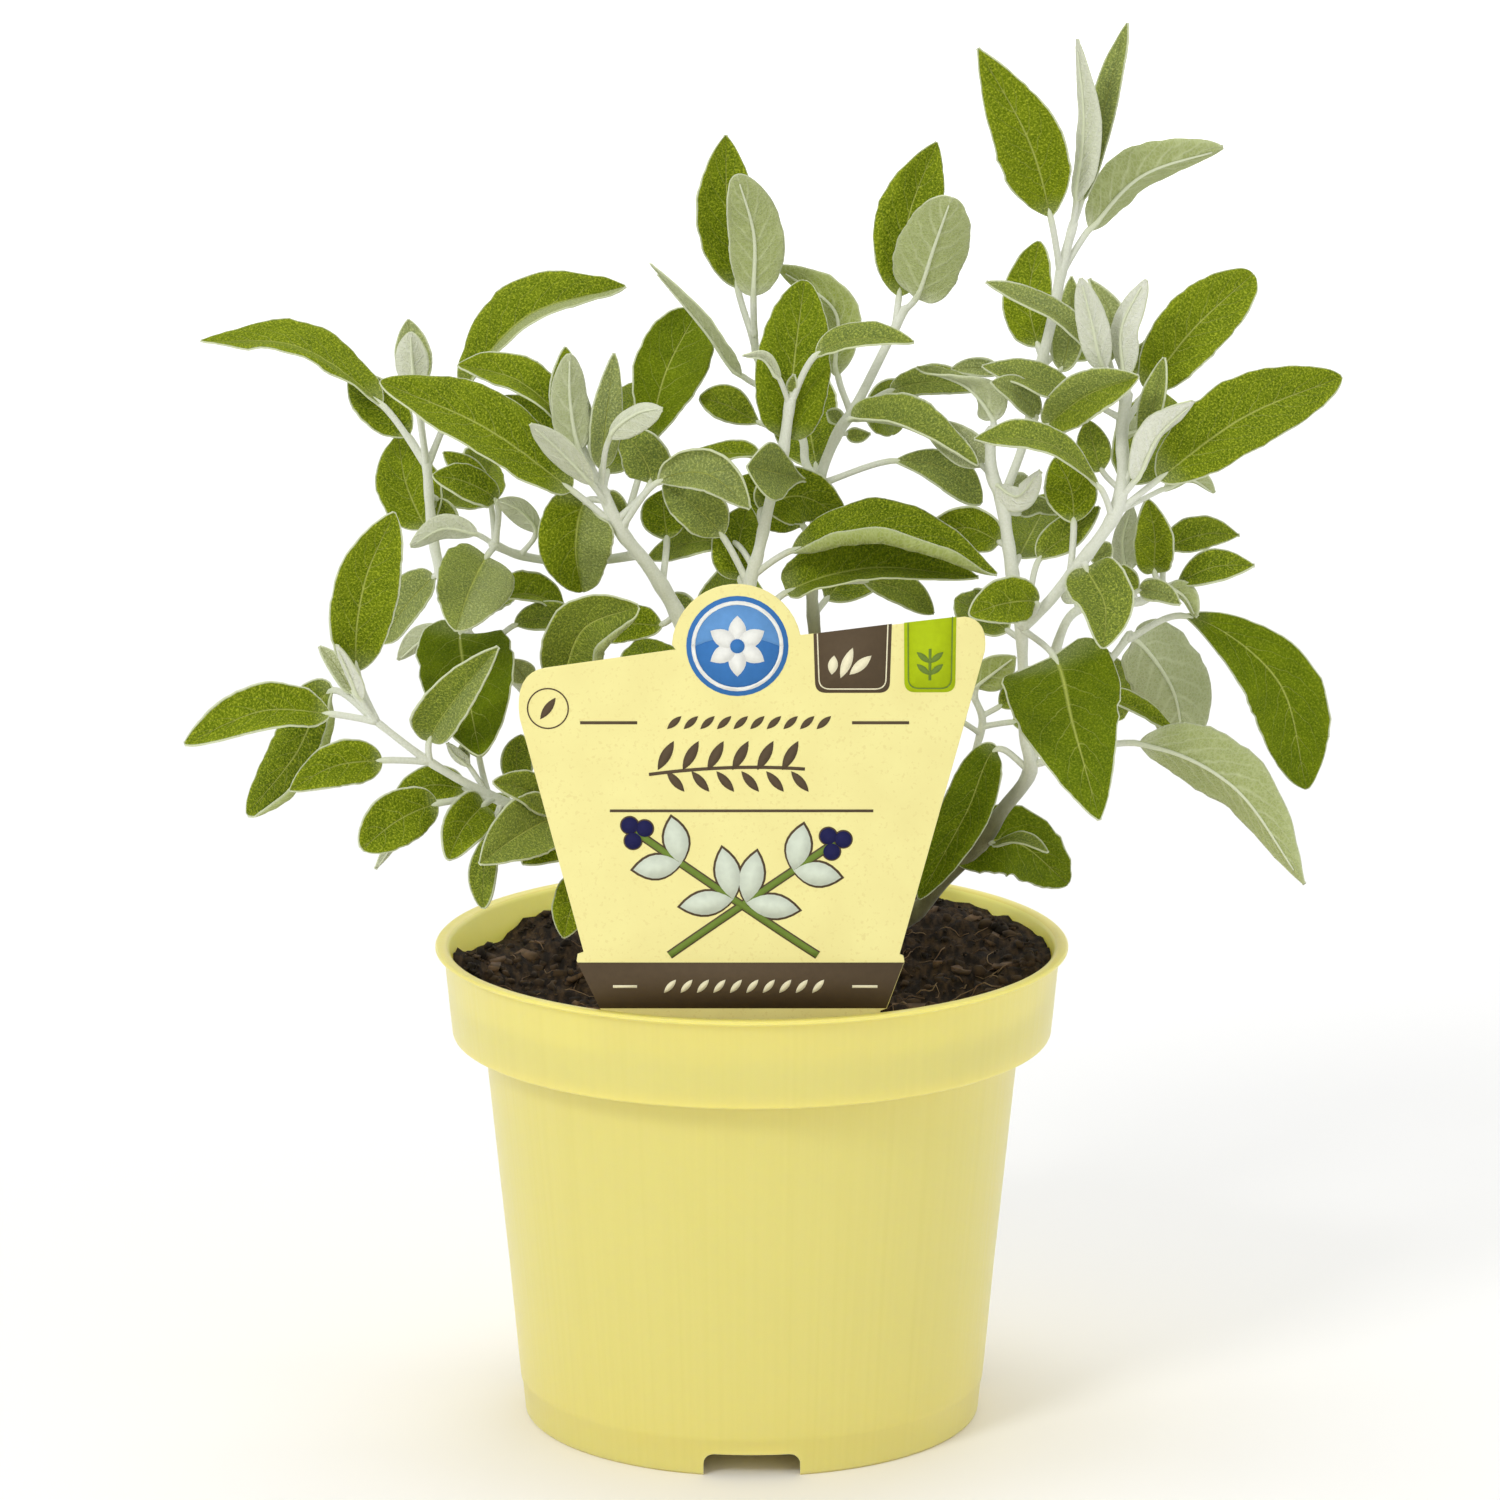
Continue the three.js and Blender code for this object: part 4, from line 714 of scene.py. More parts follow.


# Leafy stems: seven felted stems with their side shoots rise from the compost, woody and brown
# low down. They carry leaves in loose pairs, each a thin blade that is folded along its midrib,
# waved and rolled at its margin, and stands on a thin stalk that grows out of the stem.

# Places are in millimetres as seen from the front: across and up on the upright plane through
# the pot's middle, then moved along the line of sight by a depth towards the eye. A stem's row
# of path points ends with its radius. A leaf's row is its foot on the stem, the start of the
# blade, a place it passes, its tip, the depth of the tip, its width and its face. A face of 0
# turns its upper side to the front and 180 its underside, and a next number twists it on the
# way. The words at a row's end give what is special about its outline, folds, rolls or age.
# A pair of shares for the two halves whitens one half of a blade, partly for thicker felt and partly as
# painted sheen where that half catches the light.
LEAFY_STEMS = {
    "low_left_stem": {
        "soil": [-16, -4],
        "path": [
          [-19, 96, 5, 1.3], [-25, 106, 8, 1.3], [-36, 114, 12, 1.2], [-49, 120, 17, 1.0],
          [-60.4, 126.5, 21, 0.85], [-72, 135.5, 24, 0.7],
        ],
        "leaves": [
          [[-72, 135.5], [-74.2, 144.3], [-72.6, 161], [-66.8, 174.5], 30, 12, 10,
            {"widest": 0.45, "blunt": 0.2}],
          [[-71.6, 135.2], [-73.6, 139], [-75.5, 144], [-77.8, 149.3], 33, 4.5, 130, {"young": 1}],
          [[-71.6, 135.2], [-75, 140], [-78, 145], [-81.2, 149], 19, 4, 20, {"young": 1}],
          [[-71, 134.8], [-79.5, 136], [-92, 136.6], [-107, 130.2], 30, 9.3, 30, {"blunt": 0.3}],
          [[-70.5, 134.4], [-79, 140.5], [-86.2, 128], [-95.4, 116.5], 10, 11.5, 22,
            {"roll": (2.5, -0.3), "fold": 0.15}],
          [[-60.4, 126.5], [-69.7, 127], [-79, 125.8], [-87.3, 121.2], 32, 8.8, 10],
          [[-60.6, 126.6], [-60.8, 130.7], [-55.6, 139.2], [-47.6, 148.8], 28, 8.2, -8,
            {"fold": 0.5, "young": 0.1, "felted": (0, 0.15)}],
          [[-49.6, 120.3], [-54, 121.5], [-61, 122.2], [-68, 118.7], 11, 7, 15,
            {"young": 0, "fold": 0.1}],
          [[-49, 120], [-59.4, 118.6], [-67, 115.3], [-73.8, 109.8], 31, 10, 5,
            {"blunt": 0.9, "widest": 0.5}],
          [[-48, 119.5], [-63.5, 117.2], [-67.5, 111.7], [-71.3, 106], 13, 2.6, 150, {"young": 0.6}],
          [[-48.6, 119.8], [-50.5, 118.5], [-54.5, 114], [-57.5, 107.8], 34, 8.5, 0, {"blunt": 0.9}],
          [[-47.5, 119.3], [-49.5, 112.5], [-50.8, 105], [-51, 98.2], 20, 5.6, 20, {"blunt": 0.7}],
          [[-34, 112.8], [-37, 115.5], [-44, 112.5], [-51.5, 107], 33, 11.5, 0,
            {"widest": 0.4, "blunt": -0.2, "young": 0.15}],
          [[-44, 117.8], [-45.5, 119], [-48, 116], [-50.3, 111.8], 4, 8, 0],
          [[-28, 108], [-32, 111.3], [-37.5, 110.3], [-43.5, 107], 20, 7, 10],
          [[-22, 101], [-30, 104.5], [-34, 98.8], [-35.8, 92.5], 24, 8, 0],
          [[-35, 113.4], [-37.5, 117.5], [-42.5, 121.3], [-48.8, 122.8], 25, 7, 20],
          [[-42, 117], [-43.5, 122], [-44.4, 127], [-43.3, 132], 6, 6, 0],
          [[-49.6, 120.3], [-51.4, 127.6], [-51.9, 133], [-51, 139.5], 8, 7, 0],
          [[-49.9, 120.5], [-53.6, 126.4], [-54.4, 128.4], [-53.4, 131.2], 18, 2.4, 20, {"young": 0.8}],
          [[-49.9, 120.5], [-53.4, 126], [-55.6, 128], [-57.4, 130.4], 20, 2.4, 150, {"young": 0.8}],
        ],
    },
    "upper_left_stem": {
        "soil": [-12, 7],
        "path": [
          [-14, 96, -5, 1.7], [-20, 112, -2, 1.7], [-36, 134, 0, 1.5], [-48, 146, 2, 1.3],
          [-54, 152, 2, 1.2], [-59, 166, -4, 1.1], [-60.8, 185, -8, 0.95],
        ],
        "leaves": [
          [[-60.8, 185], [-69, 195], [-84, 205.8], [-102.4, 207], -22, 12, 62, {"widest": 0.45}],
          [[-60.8, 185], [-62.7, 198], [-63.2, 203], [-63.4, 208.6], 0, 6.2, 180,
            {"young": 0.8, "blunt": 0.6}],
          [[-60.8, 185], [-62.3, 197.6], [-63.2, 204], [-63.8, 211], -13, 7, 0, {"young": 0.5}],
          [[-60.8, 184.6], [-64, 189], [-69.5, 195], [-75, 200], -20, 9, 12],
          [[-60.8, 185], [-54, 197.5], [-42, 211.5], [-23.4, 217.2], -24, 13, -45,
            {"fold": 0.4, "widest": 0.5, "felted": (0, 0.55)}],
          [[-59.4, 168.5], [-61, 171.5], [-64.6, 180], [-66, 189.2], -22, 12, 0],
          [[-60.3, 178.5], [-58.8, 177], [-57.2, 174.5], [-55.5, 171.5], -12, 3.5, 0],
          [[-53.6, 151.6], [-54.6, 151.8], [-53.6, 141], [-51.2, 128], 24, 17.6, 0,
            {"frost": 0.3, "foot_blunt": 1.1}],
          [[-54.2, 152.5], [-57, 152], [-62, 150.3], [-66.5, 146.5], -7, 5.5, 150, {"young": 0.5}],
          [[-58.2, 163], [-59.5, 162.3], [-64.5, 157.3], [-69.5, 149.5], -12, 9, 30, {"young": 0.3}],
          [[-54, 152], [-47.5, 158], [-41.5, 159], [-35, 156.5], -13, 8, -48],
          [[-50, 148.6], [-44.5, 153], [-38, 154.4], [-30.5, 152.6], -11, 6, -20],
          [[-37, 135], [-35.6, 141], [-31.4, 152.5], [-21.3, 156.6], 15, 12, 8,
            {"roll": (-0.3, 2.6), "fold": 0.2, "young": 0.1}],
          [[-42, 140], [-42.2, 142], [-43.4, 144], [-45.2, 146.4], 7, 5, 0, {"young": 0.5}],
          [[-24, 118], [-26, 121], [-30, 129], [-33, 134], -34, 13, 0],
          [[-59.6, 173], [-58, 176], [-52, 180], [-48, 184], -38, 11, 0],
          [[-54, 152], [-53, 155], [-50, 160], [-47, 163], -40, 12, 0],
        ],
    },
    "pale_stem": {
        "soil": [-4, -2],
        "path": [
          [-5, 96, 0, 1.9], [-7, 130, -1, 1.8], [-13, 153, 0, 1.7], [-19.3, 164.2, 3, 1.5],
          [-24.5, 171, 5, 1.35], [-28.5, 180, 6, 1.1],
        ],
        "shoots": [
          [[-21, 166.5, 3.6, 1.1], [-29, 165.4, -5, 1.0], [-38.2, 165.4, -8, 0.95],
            [-44.2, 166.6, -4, 0.9], [-48.7, 168.6, 0, 0.85]],
        ],
        "leaves": [
          [[-24.5, 171], [-33.7, 178.8], [-50, 190.8], [-69.2, 199.3], 13, 15, 34,
            {"widest": 0.47, "blunt": 0.35, "fold": 0.15}],
          [[-26.4, 175.3], [-30, 180], [-35.5, 186], [-41.3, 191.3], 20, 5.4, 165, {"young": 0.75}],
          [[-28.5, 180], [-28, 183], [-27, 193], [-25.5, 204.6], 0, 6.8, 20, {"young": 0.35}],
          [[-28.5, 180], [-32.4, 186.5], [-34, 195.5], [-34, 204.5], 9, 7.4, 195,
            {"blunt": 0.9, "young": 0.35}],
          [[-28.5, 180], [-32, 186.5], [-34.4, 196], [-34.6, 205.8], -2, 7.5, 10],
          [[-28.2, 179.4], [-26.8, 178.4], [-25, 175.8], [-23.4, 172.6], 1, 3.5, 0],
          [[-28.4, 179.8], [-33.4, 190], [-43.5, 199.5], [-54.7, 202.5], -5, 9, 42, {"fold": 0.35}],
          [[-28, 179], [-34, 187], [-41, 192.6], [-48, 196.3], -10, 7, 20],
          [[-27, 176.4], [-31, 176.6], [-33, 168.5], [-31.8, 159.3], -2, 14, 0,
            {"widest": 0.35, "blunt": 0.6, "fold": 0.35, "felted": (0.3, 0), "foot_blunt": 0.9}],
          [[-24.5, 171], [-17.5, 180.3], [-8.5, 181.8], [-0.3, 175.2], 15, 7.6, -12,
            {"young": 0.3, "widest": 0.5, "blunt": -0.6, "roll": (1.8, -0.2), "foot_blunt": 0}],
          [[-25.2, 172.6], [-19, 180], [-20.6, 185.5], [-24.8, 190.2], 2, 9, 0, {"young": 0.15}],
          [[-28.5, 180], [-26.5, 188.5], [-21.6, 192.8], [-16.6, 194], 17, 5.4, 150, {"young": 0.7}],
          [[-24.2, 170.4], [-19.5, 187], [-16.2, 200.5], [-10.2, 212.4], -23, 13.5, 0,
            {"blunt": 1, "widest": 0.58, "foot_blunt": 0.1, "frost": 0.5}],
          [[-14, 155.2], [-16.8, 153.2], [-23, 153.2], [-28.8, 150.4], -7, 7.5, 18],
          [[-12.6, 151.6], [-12, 153.6], [-13, 156.4], [-15.4, 159], -9, 5, 0],
          [[-17, 160.5], [-15.9, 169.5], [-16.4, 174.2], [-16.6, 178.8], -13, 9, 0],
          [[-48.7, 168.6], [-47.8, 176.6], [-53.6, 180.4], [-59.6, 181.6], 7, 7.4, 25],
          [[-48.7, 168.6], [-49.4, 178], [-53.6, 182.8], [-57.6, 186], -4, 5.6, 30],
          [[-43.4, 166.4], [-40.4, 170.8], [-43.4, 174.8], [-47.8, 176.8], 5, 4.6, 180, {"young": 0.7}],
          [[-48.7, 168.6], [-51.6, 170.4], [-57.6, 171.6], [-64, 168.2], 7, 5, 155, {"young": 0.75}],
          [[-48.6, 168.6], [-49.6, 166.2], [-52.8, 160], [-55.6, 152], 25, 14.5, 0,
            {"widest": 0.35, "blunt": 0.8, "young": 0.2, "fold": 0.2, "felted": (0.2, 0),
              "foot_blunt": 1}],
          [[-8, 134], [-11, 137], [-18, 144], [-22, 150], -32, 13, 0],
          [[-12, 150], [-9.5, 153], [-4, 158], [0, 163], -38, 12, 0],
          [[-27.6, 178], [-27, 182], [-24, 191], [-20, 199], -42, 12, 0],
        ],
    },
    "middle_stem": {
        "soil": [0, -14],
        "path": [
          [0, 92, 12, 1.8], [-0.5, 110, 9, 1.7], [-1.5, 140, 5, 1.5], [-0.5, 160, 3, 1.3],
          [1.5, 168, 3, 1.25], [3.5, 177, 2, 1.2], [5.6, 185, 1, 1.3], [7.2, 196, 0, 1.1],
        ],
        "leaves": [
          [[7.2, 195], [5, 200], [2.3, 203.8], [-1.6, 204.3], 7, 3.8, 110, {"young": 0.6}],
          [[7.2, 195.5], [12, 204.3], [20, 207.4], [30.2, 206.7], 5, 8, -45,
            {"young": 0.15, "fold": 0.3}],
          [[5.8, 186], [6.6, 188.4], [7.9, 203], [9.8, 218.3], -13, 14, 4,
            {"blunt": 0.7, "fold": 0.2, "frost": 0.8}],
          [[7.2, 195.8], [7.3, 197], [7.5, 198.6], [7.8, 200.6], 1, 2.2, 0],
          [[5.3, 184], [1.2, 185.4], [-5, 185.8], [-12.2, 185.8], -8, 7, 60],
          [[-0.6, 161], [-5.5, 170], [-10.5, 175.4], [-16.6, 179.8], -1, 9, 0, {"young": 0.2}],
          [[0.4, 164.4], [-3.4, 168.8], [-11.5, 168.8], [-19.6, 165.8], -17, 7, 28],
          [[-0.8, 159], [-2.2, 161.8], [-2.3, 169], [-0.6, 176], -9, 10, 0],
          [[0, 162], [7.5, 167.3], [24, 171.4], [46, 162.8], 10, 13, -52,
            {"roll": (-0.2, 2.5), "fold": 0.15}],
          [[-0.9, 152], [6.5, 159.3], [22, 164], [42.5, 162.2], -1, 13, -42,
            {"blunt": -0.3, "widest": 0.4, "roll": (-0.4, 0.3), "foot_blunt": 1.3, "frost": 0.9}],
          [[-0.3, 112], [2, 116], [8, 124], [12, 130], 34, 12, 0, {"blunt": -0.3}],
          [[-1.2, 132], [-4, 135], [-10, 142], [-14, 148], 32, 11, 0],
          [[2.2, 171], [1.8, 175], [8.5, 177.6], [18, 173.2], -12, 11, 0, {"blunt": -0.1}],
        ],
    },
    "back_stem": {
        "soil": [9, 9],
        "path": [
          [9.5, 98, -10, 1.5], [13, 120, -14, 1.4], [12.3, 145, -15, 1.3], [11.3, 159, -15, 1.2],
          [11.8, 170, -12, 1.2], [12.5, 180, -9, 1.15], [16.3, 190, -8, 1.1], [18.7, 193.5, -8, 1.05],
          [26, 208, -10, 0.95], [28.5, 213, -11, 0.85],
        ],
        "shoots": [
          [[12.5, 179.4, -9, 1.0], [10, 184, -12, 0.95], [9.6, 188, -14, 0.9], [6, 196, -17, 0.85],
            [1.2, 203, -16, 0.8], [0.3, 209, -14, 0.75]],
        ],
        "leaves": [
          [[0.4, 208.6], [0.3, 215.5], [0.4, 226.5], [-2.8, 238], -5, 10.4, 180,
            {"blunt": 0.9, "young": 0.15}],
          [[0.7, 206], [-2.7, 217], [-4.5, 231], [-4.8, 245.3], -24, 12, 5,
            {"blunt": -0.3, "widest": 0.45}],
          [[5.5, 196.6], [-2, 200.5], [-8.3, 209], [-18.7, 221.4], -4, 6.5, 105,
            {"young": 0.3, "blunt": 0}],
          [[9, 190], [1.5, 191.5], [-4.6, 194.8], [-9.8, 196.3], -13, 7, 15,
            {"widest": 0.55, "blunt": -0.2}],
          [[18.3, 193], [16, 200.5], [15.8, 212.5], [4.9, 220.8], -22, 8.5, 140],
          [[28.5, 213], [30.5, 214.9], [33.8, 224.5], [37, 233.8], 1, 13, 180,
            {"blunt": 1, "young": 0.15, "widest": 0.4}],
          [[26.6, 209.2], [27.3, 215.2], [29, 230], [34.2, 244], -22, 12.5, 5,
            {"blunt": -0.2, "widest": 0.45}],
          [[16.6, 190.5], [18.5, 192.2], [29, 191], [42.2, 183.5], 9, 8.5, -45,
            {"fold": 0.55, "young": 0.15, "bend": (0.2, 0.3), "felted": (0, 0.2)}],
          [[16.4, 190.2], [16.4, 191.2], [15.6, 192.6], [14, 193.6], -14, 3, 0],
          [[16, 189.2], [17.6, 189.4], [19.8, 189], [22.2, 189.4], -12, 3, 0],
          [[12.6, 180.2], [26.5, 184.3], [35.8, 182.8], [43, 176.2], -5, 7.5, -15,
            {"widest": 0.6, "young": 0.2}],
          [[18.7, 193.5], [25.8, 197.5], [34, 199.3], [44.5, 198], -15, 7, -38, {"young": 0.15}],
          [[12.4, 179.8], [11.4, 180.2], [6.4, 181.6], [-0.8, 183.2], 12, 10.8, 8,
            {"young": 0.2, "widest": 0.8, "blunt": 0, "foot_blunt": -0.1}],
          [[11.8, 168], [9.5, 172], [4.5, 176.5], [-2.5, 181], -20, 10, 0],
          [[11.9, 171], [11.6, 173], [14, 174.8], [17.7, 173.9], -14, 5, 0],
          [[11.3, 160], [21, 161.4], [28.5, 159.6], [34.2, 155.2], -22, 6.4, -15],
          [[12.8, 128], [16, 131], [24, 138], [31, 145], -44, 13, 0],
          [[12.5, 140], [9, 143], [2, 149], [-4, 154], -50, 12, 0],
          [[11.4, 155], [14, 158], [20, 165], [26, 170], -48, 12, 0],
          [[12.2, 178], [12, 183], [10, 194], [8, 206], -44, 13, 0],
          [[18, 192.6], [21, 193], [26, 194], [31, 193], -44, 11, 0],
        ],
    },
    "thin_stem": {
        "soil": [20, 2],
        "path": [
          [28, 98, -5, 0.9], [33, 104.5, -8, 0.9], [37.6, 114.3, -9, 0.85],
          [42.5, 130, -6, 0.8], [43.4, 135, -5, 0.75], [41.7, 139.5, -4, 0.7],
        ],
        "leaves": [
          [[41.7, 139.5], [42.3, 141], [45.5, 143.8], [49.6, 147], 1, 6.5, 180],
          [[43, 132.5], [40, 134.2], [36.5, 136], [32.5, 136], 2, 5, 0],
          [[43.4, 133.5], [49, 134.4], [56, 134.6], [63, 132.5], -6, 6.5, -10],
          [[43.3, 135.5], [46.6, 137.4], [51, 141], [55, 145], -7, 6, 0],
        ],
    },
    "woody_stem": {
        "soil": [24, 14],
        "path": [
          [30.5, 97, -12, 1.6], [36, 103.5, -9, 1.5], [42.8, 110.8, -5, 1.7], [47.3, 117.3, -1, 1.35],
          [52.5, 125, 3, 1.4], [51.3, 132, 5, 1.2], [50.9, 146, 9, 1.15],
          [50.4, 154, 11, 1.3], [48.8, 163, 10, 1.4], [47.8, 170, 8, 1.3], [46.6, 177, 6, 1.35],
          [44.8, 182, 5, 1.3], [44.5, 190, 3, 1.1],
        ],
        "shoots": [
          [[46.6, 176, 6, 1.1], [48.4, 181, 4, 1.0], [50.5, 187, 1, 0.95], [52.3, 195, -2, 1.0],
            [53.7, 202, -5, 1.1], [56, 212, -8, 1.15], [57.5, 220.5, -10, 1.15], [59.6, 229, -11, 0.9]],
          [[50.5, 152.5, 11, 1.25], [55.3, 157, 13, 1.2], [58.5, 161, 13, 1.2], [62, 165.5, 13, 1.25],
            [66, 171, 12, 1.3], [68, 174.5, 11, 1.4], [69.3, 181, 8, 1.3], [69, 190, 6, 1.25],
            [69.8, 197, 5, 1.2]],
          [[52.2, 124.5, 3, 1.2], [55, 136, 4, 1.1], [57.3, 149, 6, 1.0], [60, 155, 5, 0.95],
            [66, 157.4, 1, 0.9], [73, 157.6, -4, 0.9], [77.5, 160.5, -8, 0.85]],
          [[56, 141, 4.6, 0.95], [62, 142.5, 0, 0.9], [67, 146, -4, 0.85], [71, 151.3, -6, 0.85]],
        ],
        "leaves": [
          [[52, 125], [46.2, 129.2], [40.6, 117], [31.6, 100], 9, 9.5, 0,
            {"roll": (-0.5, -0.5), "frost": 0.45}],
          [[45, 114.4], [41, 118.2], [36.5, 113.5], [33, 107], 3, 6, 0],
          [[43, 111.4], [37.8, 110], [49, 111.4], [60, 103], -14, 13, 0,
            {"blunt": 0.6, "toothed": 2.2, "frost": 0.5}],
          [[43.4, 111.8], [45.6, 111], [50.6, 111.7], [56, 109.3], 6, 5, -58],
          [[50.5, 152.4], [56.8, 147], [60.6, 133.5], [65.7, 115.5], 40, 21, 0,
            {"widest": 0.26, "blunt": -0.1, "fold": 0.15, "foot_blunt": 0.75, "frost": 0.5, "young": 0}],
          [[51.6, 153.6], [53.4, 157.2], [47.6, 157.2], [40.8, 155], 27, 8.8, 5,
            {"blunt": 0.5, "foot_blunt": -0.6}],
          [[52.8, 125.6], [73, 130.3], [90.5, 122.6], [104.8, 103], 12, 12.5, -145,
            {"blunt": -0.5, "widest": 0.4, "young": 0.15, "bend": (0.1, 0.5)}],
          [[71, 151.2], [71.6, 150.4], [79.2, 140.5], [81.5, 128.2], -14, 14, 180,
            {"blunt": 0.7, "young": 0.35}],
          [[71, 151.4], [81, 154.8], [98.6, 142.8], [104.8, 121.4], -3, 14.2, -8,
            {"widest": 0.58, "foot_blunt": -0.1, "blunt": 0.3, "frost": 0.5}],
          [[55.8, 139.4], [66, 139.6], [73, 136.6], [80, 132.4], -7, 6, -52],
          [[62, 165.5], [62.6, 164], [66.2, 157], [66, 148.6], 28, 11, 0,
            {"blunt": 0.4, "young": 0.1, "foot_blunt": 0.8, "fold": 0.35}],
          [[72.5, 157.6], [71.6, 159], [70.2, 161.6], [69.2, 164.6], -2, 5, 0],
          [[61.6, 155.8], [60.8, 157.4], [60.2, 159.6], [60.4, 161.8], 1, 4.6, 170, {"young": 0.8}],
          [[70, 157.6], [72.6, 159.6], [76.4, 159.4], [80.4, 157], 5, 4.4, -15, {"young": 0.3}],
          [[77.5, 160.5], [78.6, 160.4], [81.4, 158.6], [83.6, 154.6], -2, 4, -140],
          [[76.6, 159.8], [75.5, 163], [75.4, 170], [74, 177], 4, 7.6, 0],
          [[77.2, 160.3], [78, 167.4], [84.6, 170.4], [91.3, 170.2], -17, 7, -22, {"blunt": -0.6}],
          [[77.4, 160.4], [79.8, 161.2], [86.6, 164.2], [94.2, 164.5], -4, 7, -28, {"blunt": -0.6}],
          [[71, 157.6], [70.2, 163.4], [69.6, 169.4], [71.2, 175.6], -9, 6.4, 150, {"young": 0.7}],
          [[60, 163], [60.2, 172.7], [59.6, 179], [56.6, 185], 1, 9.6, 0],
          [[51.4, 153.6], [53.8, 165.6], [59, 170.2], [65, 175.6], 3, 7, -25,
            {"young": 0.05, "fold": 0.4}],
          [[63, 166.6], [63.6, 166], [65.4, 166.6], [67.2, 168.6], 4, 4, 0],
          [[47, 174.6], [50, 174.3], [53.4, 175.8], [57, 174.2], -1, 4, -15, {"young": 0.3}],
          [[45, 181], [45.8, 179.6], [49.4, 177.4], [53.9, 182.4], 14, 4.4, 165,
            {"young": 1, "fold": 0.5}],
          [[46.6, 176.6], [48.2, 179], [49.8, 180.4], [51.6, 181.2], -2, 3, 0, {"young": 0.7}],
          [[68.6, 178.6], [65.4, 182.4], [63.8, 187], [62.6, 192], 2, 6.6, 0],
          [[67.4, 173.6], [65, 179.3], [55.2, 187.7], [41.5, 188.5], 22, 7.5, 48,
            {"young": 0.1, "widest": 0.6}],
          [[51, 188.4], [54.5, 190.8], [62.6, 196.8], [72, 200.2], 15, 8.8, -4,
            {"young": 0.05, "fold": 0.45, "felted": (0.15, 0)}],
          [[69, 191.4], [61, 196.4], [52, 199.9], [42.8, 202.2], 3, 7.6, 44, {"young": 0.2}],
          [[51.2, 190.4], [53, 192.6], [49.4, 197], [44.6, 199.2], 10, 6, 30, {"young": 0.3}],
          [[44.5, 190], [45, 192], [40.6, 198.4], [30.6, 202], -3, 8, 160, -130, {"young": 0.35}],
          [[52.2, 194.6], [46, 200.8], [41.5, 201.9], [37, 201.6], -9, 3.6, 20, {"young": 0.4}],
          [[44.8, 181.5], [43, 183.4], [38.8, 187], [32, 191.6], -5, 7, 10, {"young": 0.8}],
          [[54, 203.6], [53.2, 206], [51.4, 214.5], [53.2, 225.6], -19, 9.5, 0],
          [[52.8, 197.6], [57.4, 201.4], [59.2, 210], [59.3, 219], -17, 6, -8, {"young": 0.3}],
          [[57.4, 220], [55.3, 230], [51.2, 244], [41.6, 261.3], -2, 12.8, 4,
            {"blunt": -0.7, "widest": 0.46}],
          [[57.4, 220], [62.5, 227.8], [71.6, 237.8], [87, 243], -22, 9.8, -137,
            {"roll": (-0.2, 2.0), "young": 0.15}],
          [[59.6, 228.6], [60, 233], [61.6, 247], [60, 263], -5, 6, 138,
            {"young": 0.8, "roll": (0.9, 0.6)}],
          [[59.6, 228.6], [61, 233], [64.6, 249], [69, 266], -18, 6, -30, {"young": 0.25}],
          [[69.4, 191], [73.5, 197.5], [81.4, 208.4], [93, 219.5], -15, 12.6, 0,
            {"blunt": 0.9, "widest": 0.52}],
          [[69.8, 196.6], [70.6, 200], [71.4, 203.4], [73.2, 206.8], -5, 3, 20],
          [[69.8, 197], [69.6, 200], [69, 209], [73.3, 218.3], 8, 6.6, 138, {"young": 1}],
          [[69.8, 197], [65.4, 201.6], [63.2, 210], [61, 218.7], 13, 5.8, 180, {"young": 0.9}],
          [[69.8, 197], [66.6, 203], [66.8, 211.5], [62.6, 218.6], -2, 4.6, 20, {"young": 0.5}],
          [[69.8, 197], [66, 201.5], [57.6, 211], [43.4, 218], 3, 6, 50,
            {"young": 0.3, "fold": 0.3, "widest": 0.6}],
          [[69.1, 186], [68.6, 188.8], [71.4, 190.2], [75.2, 190.4], -3, 5, -140, {"young": 0.4}],
          [[68, 174.4], [76, 180.8], [91.4, 192.4], [109.8, 200.2], -7, 14.4, -12, {"widest": 0.47}],
          [[68.6, 177.4], [71.4, 180.4], [75.4, 189], [82.2, 195.7], 14, 7, -128, {"young": 1}],
          [[68.8, 179], [72.8, 187.4], [75, 196], [76.6, 203.8], 6, 5.4, -32, {"young": 0.2}],
          [[68, 174.4], [77, 179], [82, 181], [86.4, 178.4], -8, 4, -140],
          [[31, 97.8], [28, 103], [20, 112], [12, 121], -42, 14, 0],
          [[50.6, 150], [48, 152], [43, 155.5], [38, 158], -34, 8, 0],
          [[48.8, 163], [50, 166], [53, 172], [56, 178], -38, 13, 0],
          [[68.6, 176], [70, 180], [74, 189], [77, 197], -40, 13, 0],
          [[57.3, 149], [60, 147], [66, 141], [70, 135], -38, 12, 0],
          [[53.7, 202], [56, 204], [60.5, 208], [63.6, 213], -42, 11, 0],
          [[48.6, 168], [46.4, 168.8], [40.5, 171.6], [32, 169.2], -9, 8, 0, {"blunt": 0.6}],
        ],
    },
}
BARK_FADE = (10, 8)
BARK_UP_TO = {"woody_stem": 123, "back_stem": 158, "thin_stem": 112}
STEM_RISE = 1.6
STEM_SUNK = 12
STEM_SIDES = 12
RING_EVERY = 1.5
NODE_SWELL = 0.15
NODE_REACH = 1.6
STEM_SLIM = 0.87
STALK_R = 0.55
STALK_FULL_AT = 9
MIDRIB_TIP_R = 0.09
MIDRIB_END = 0.93
STALK_SIDES = 8
STALK_ROWS = 30
BLADE_START = 1 / 3
BLADE_T = 0.32
BLADE_COLUMNS = 18
BLADE_ROWS = 36
ROWS_EVEN = 0.35
ARCH = 0.06
WAVE = 1.1
QUILT = 0.2
RAGGED = 0.05
LOPSIDED = 0.07
WAVE_FULL_AT = 4
SMALL_LEAF = (3, 9)
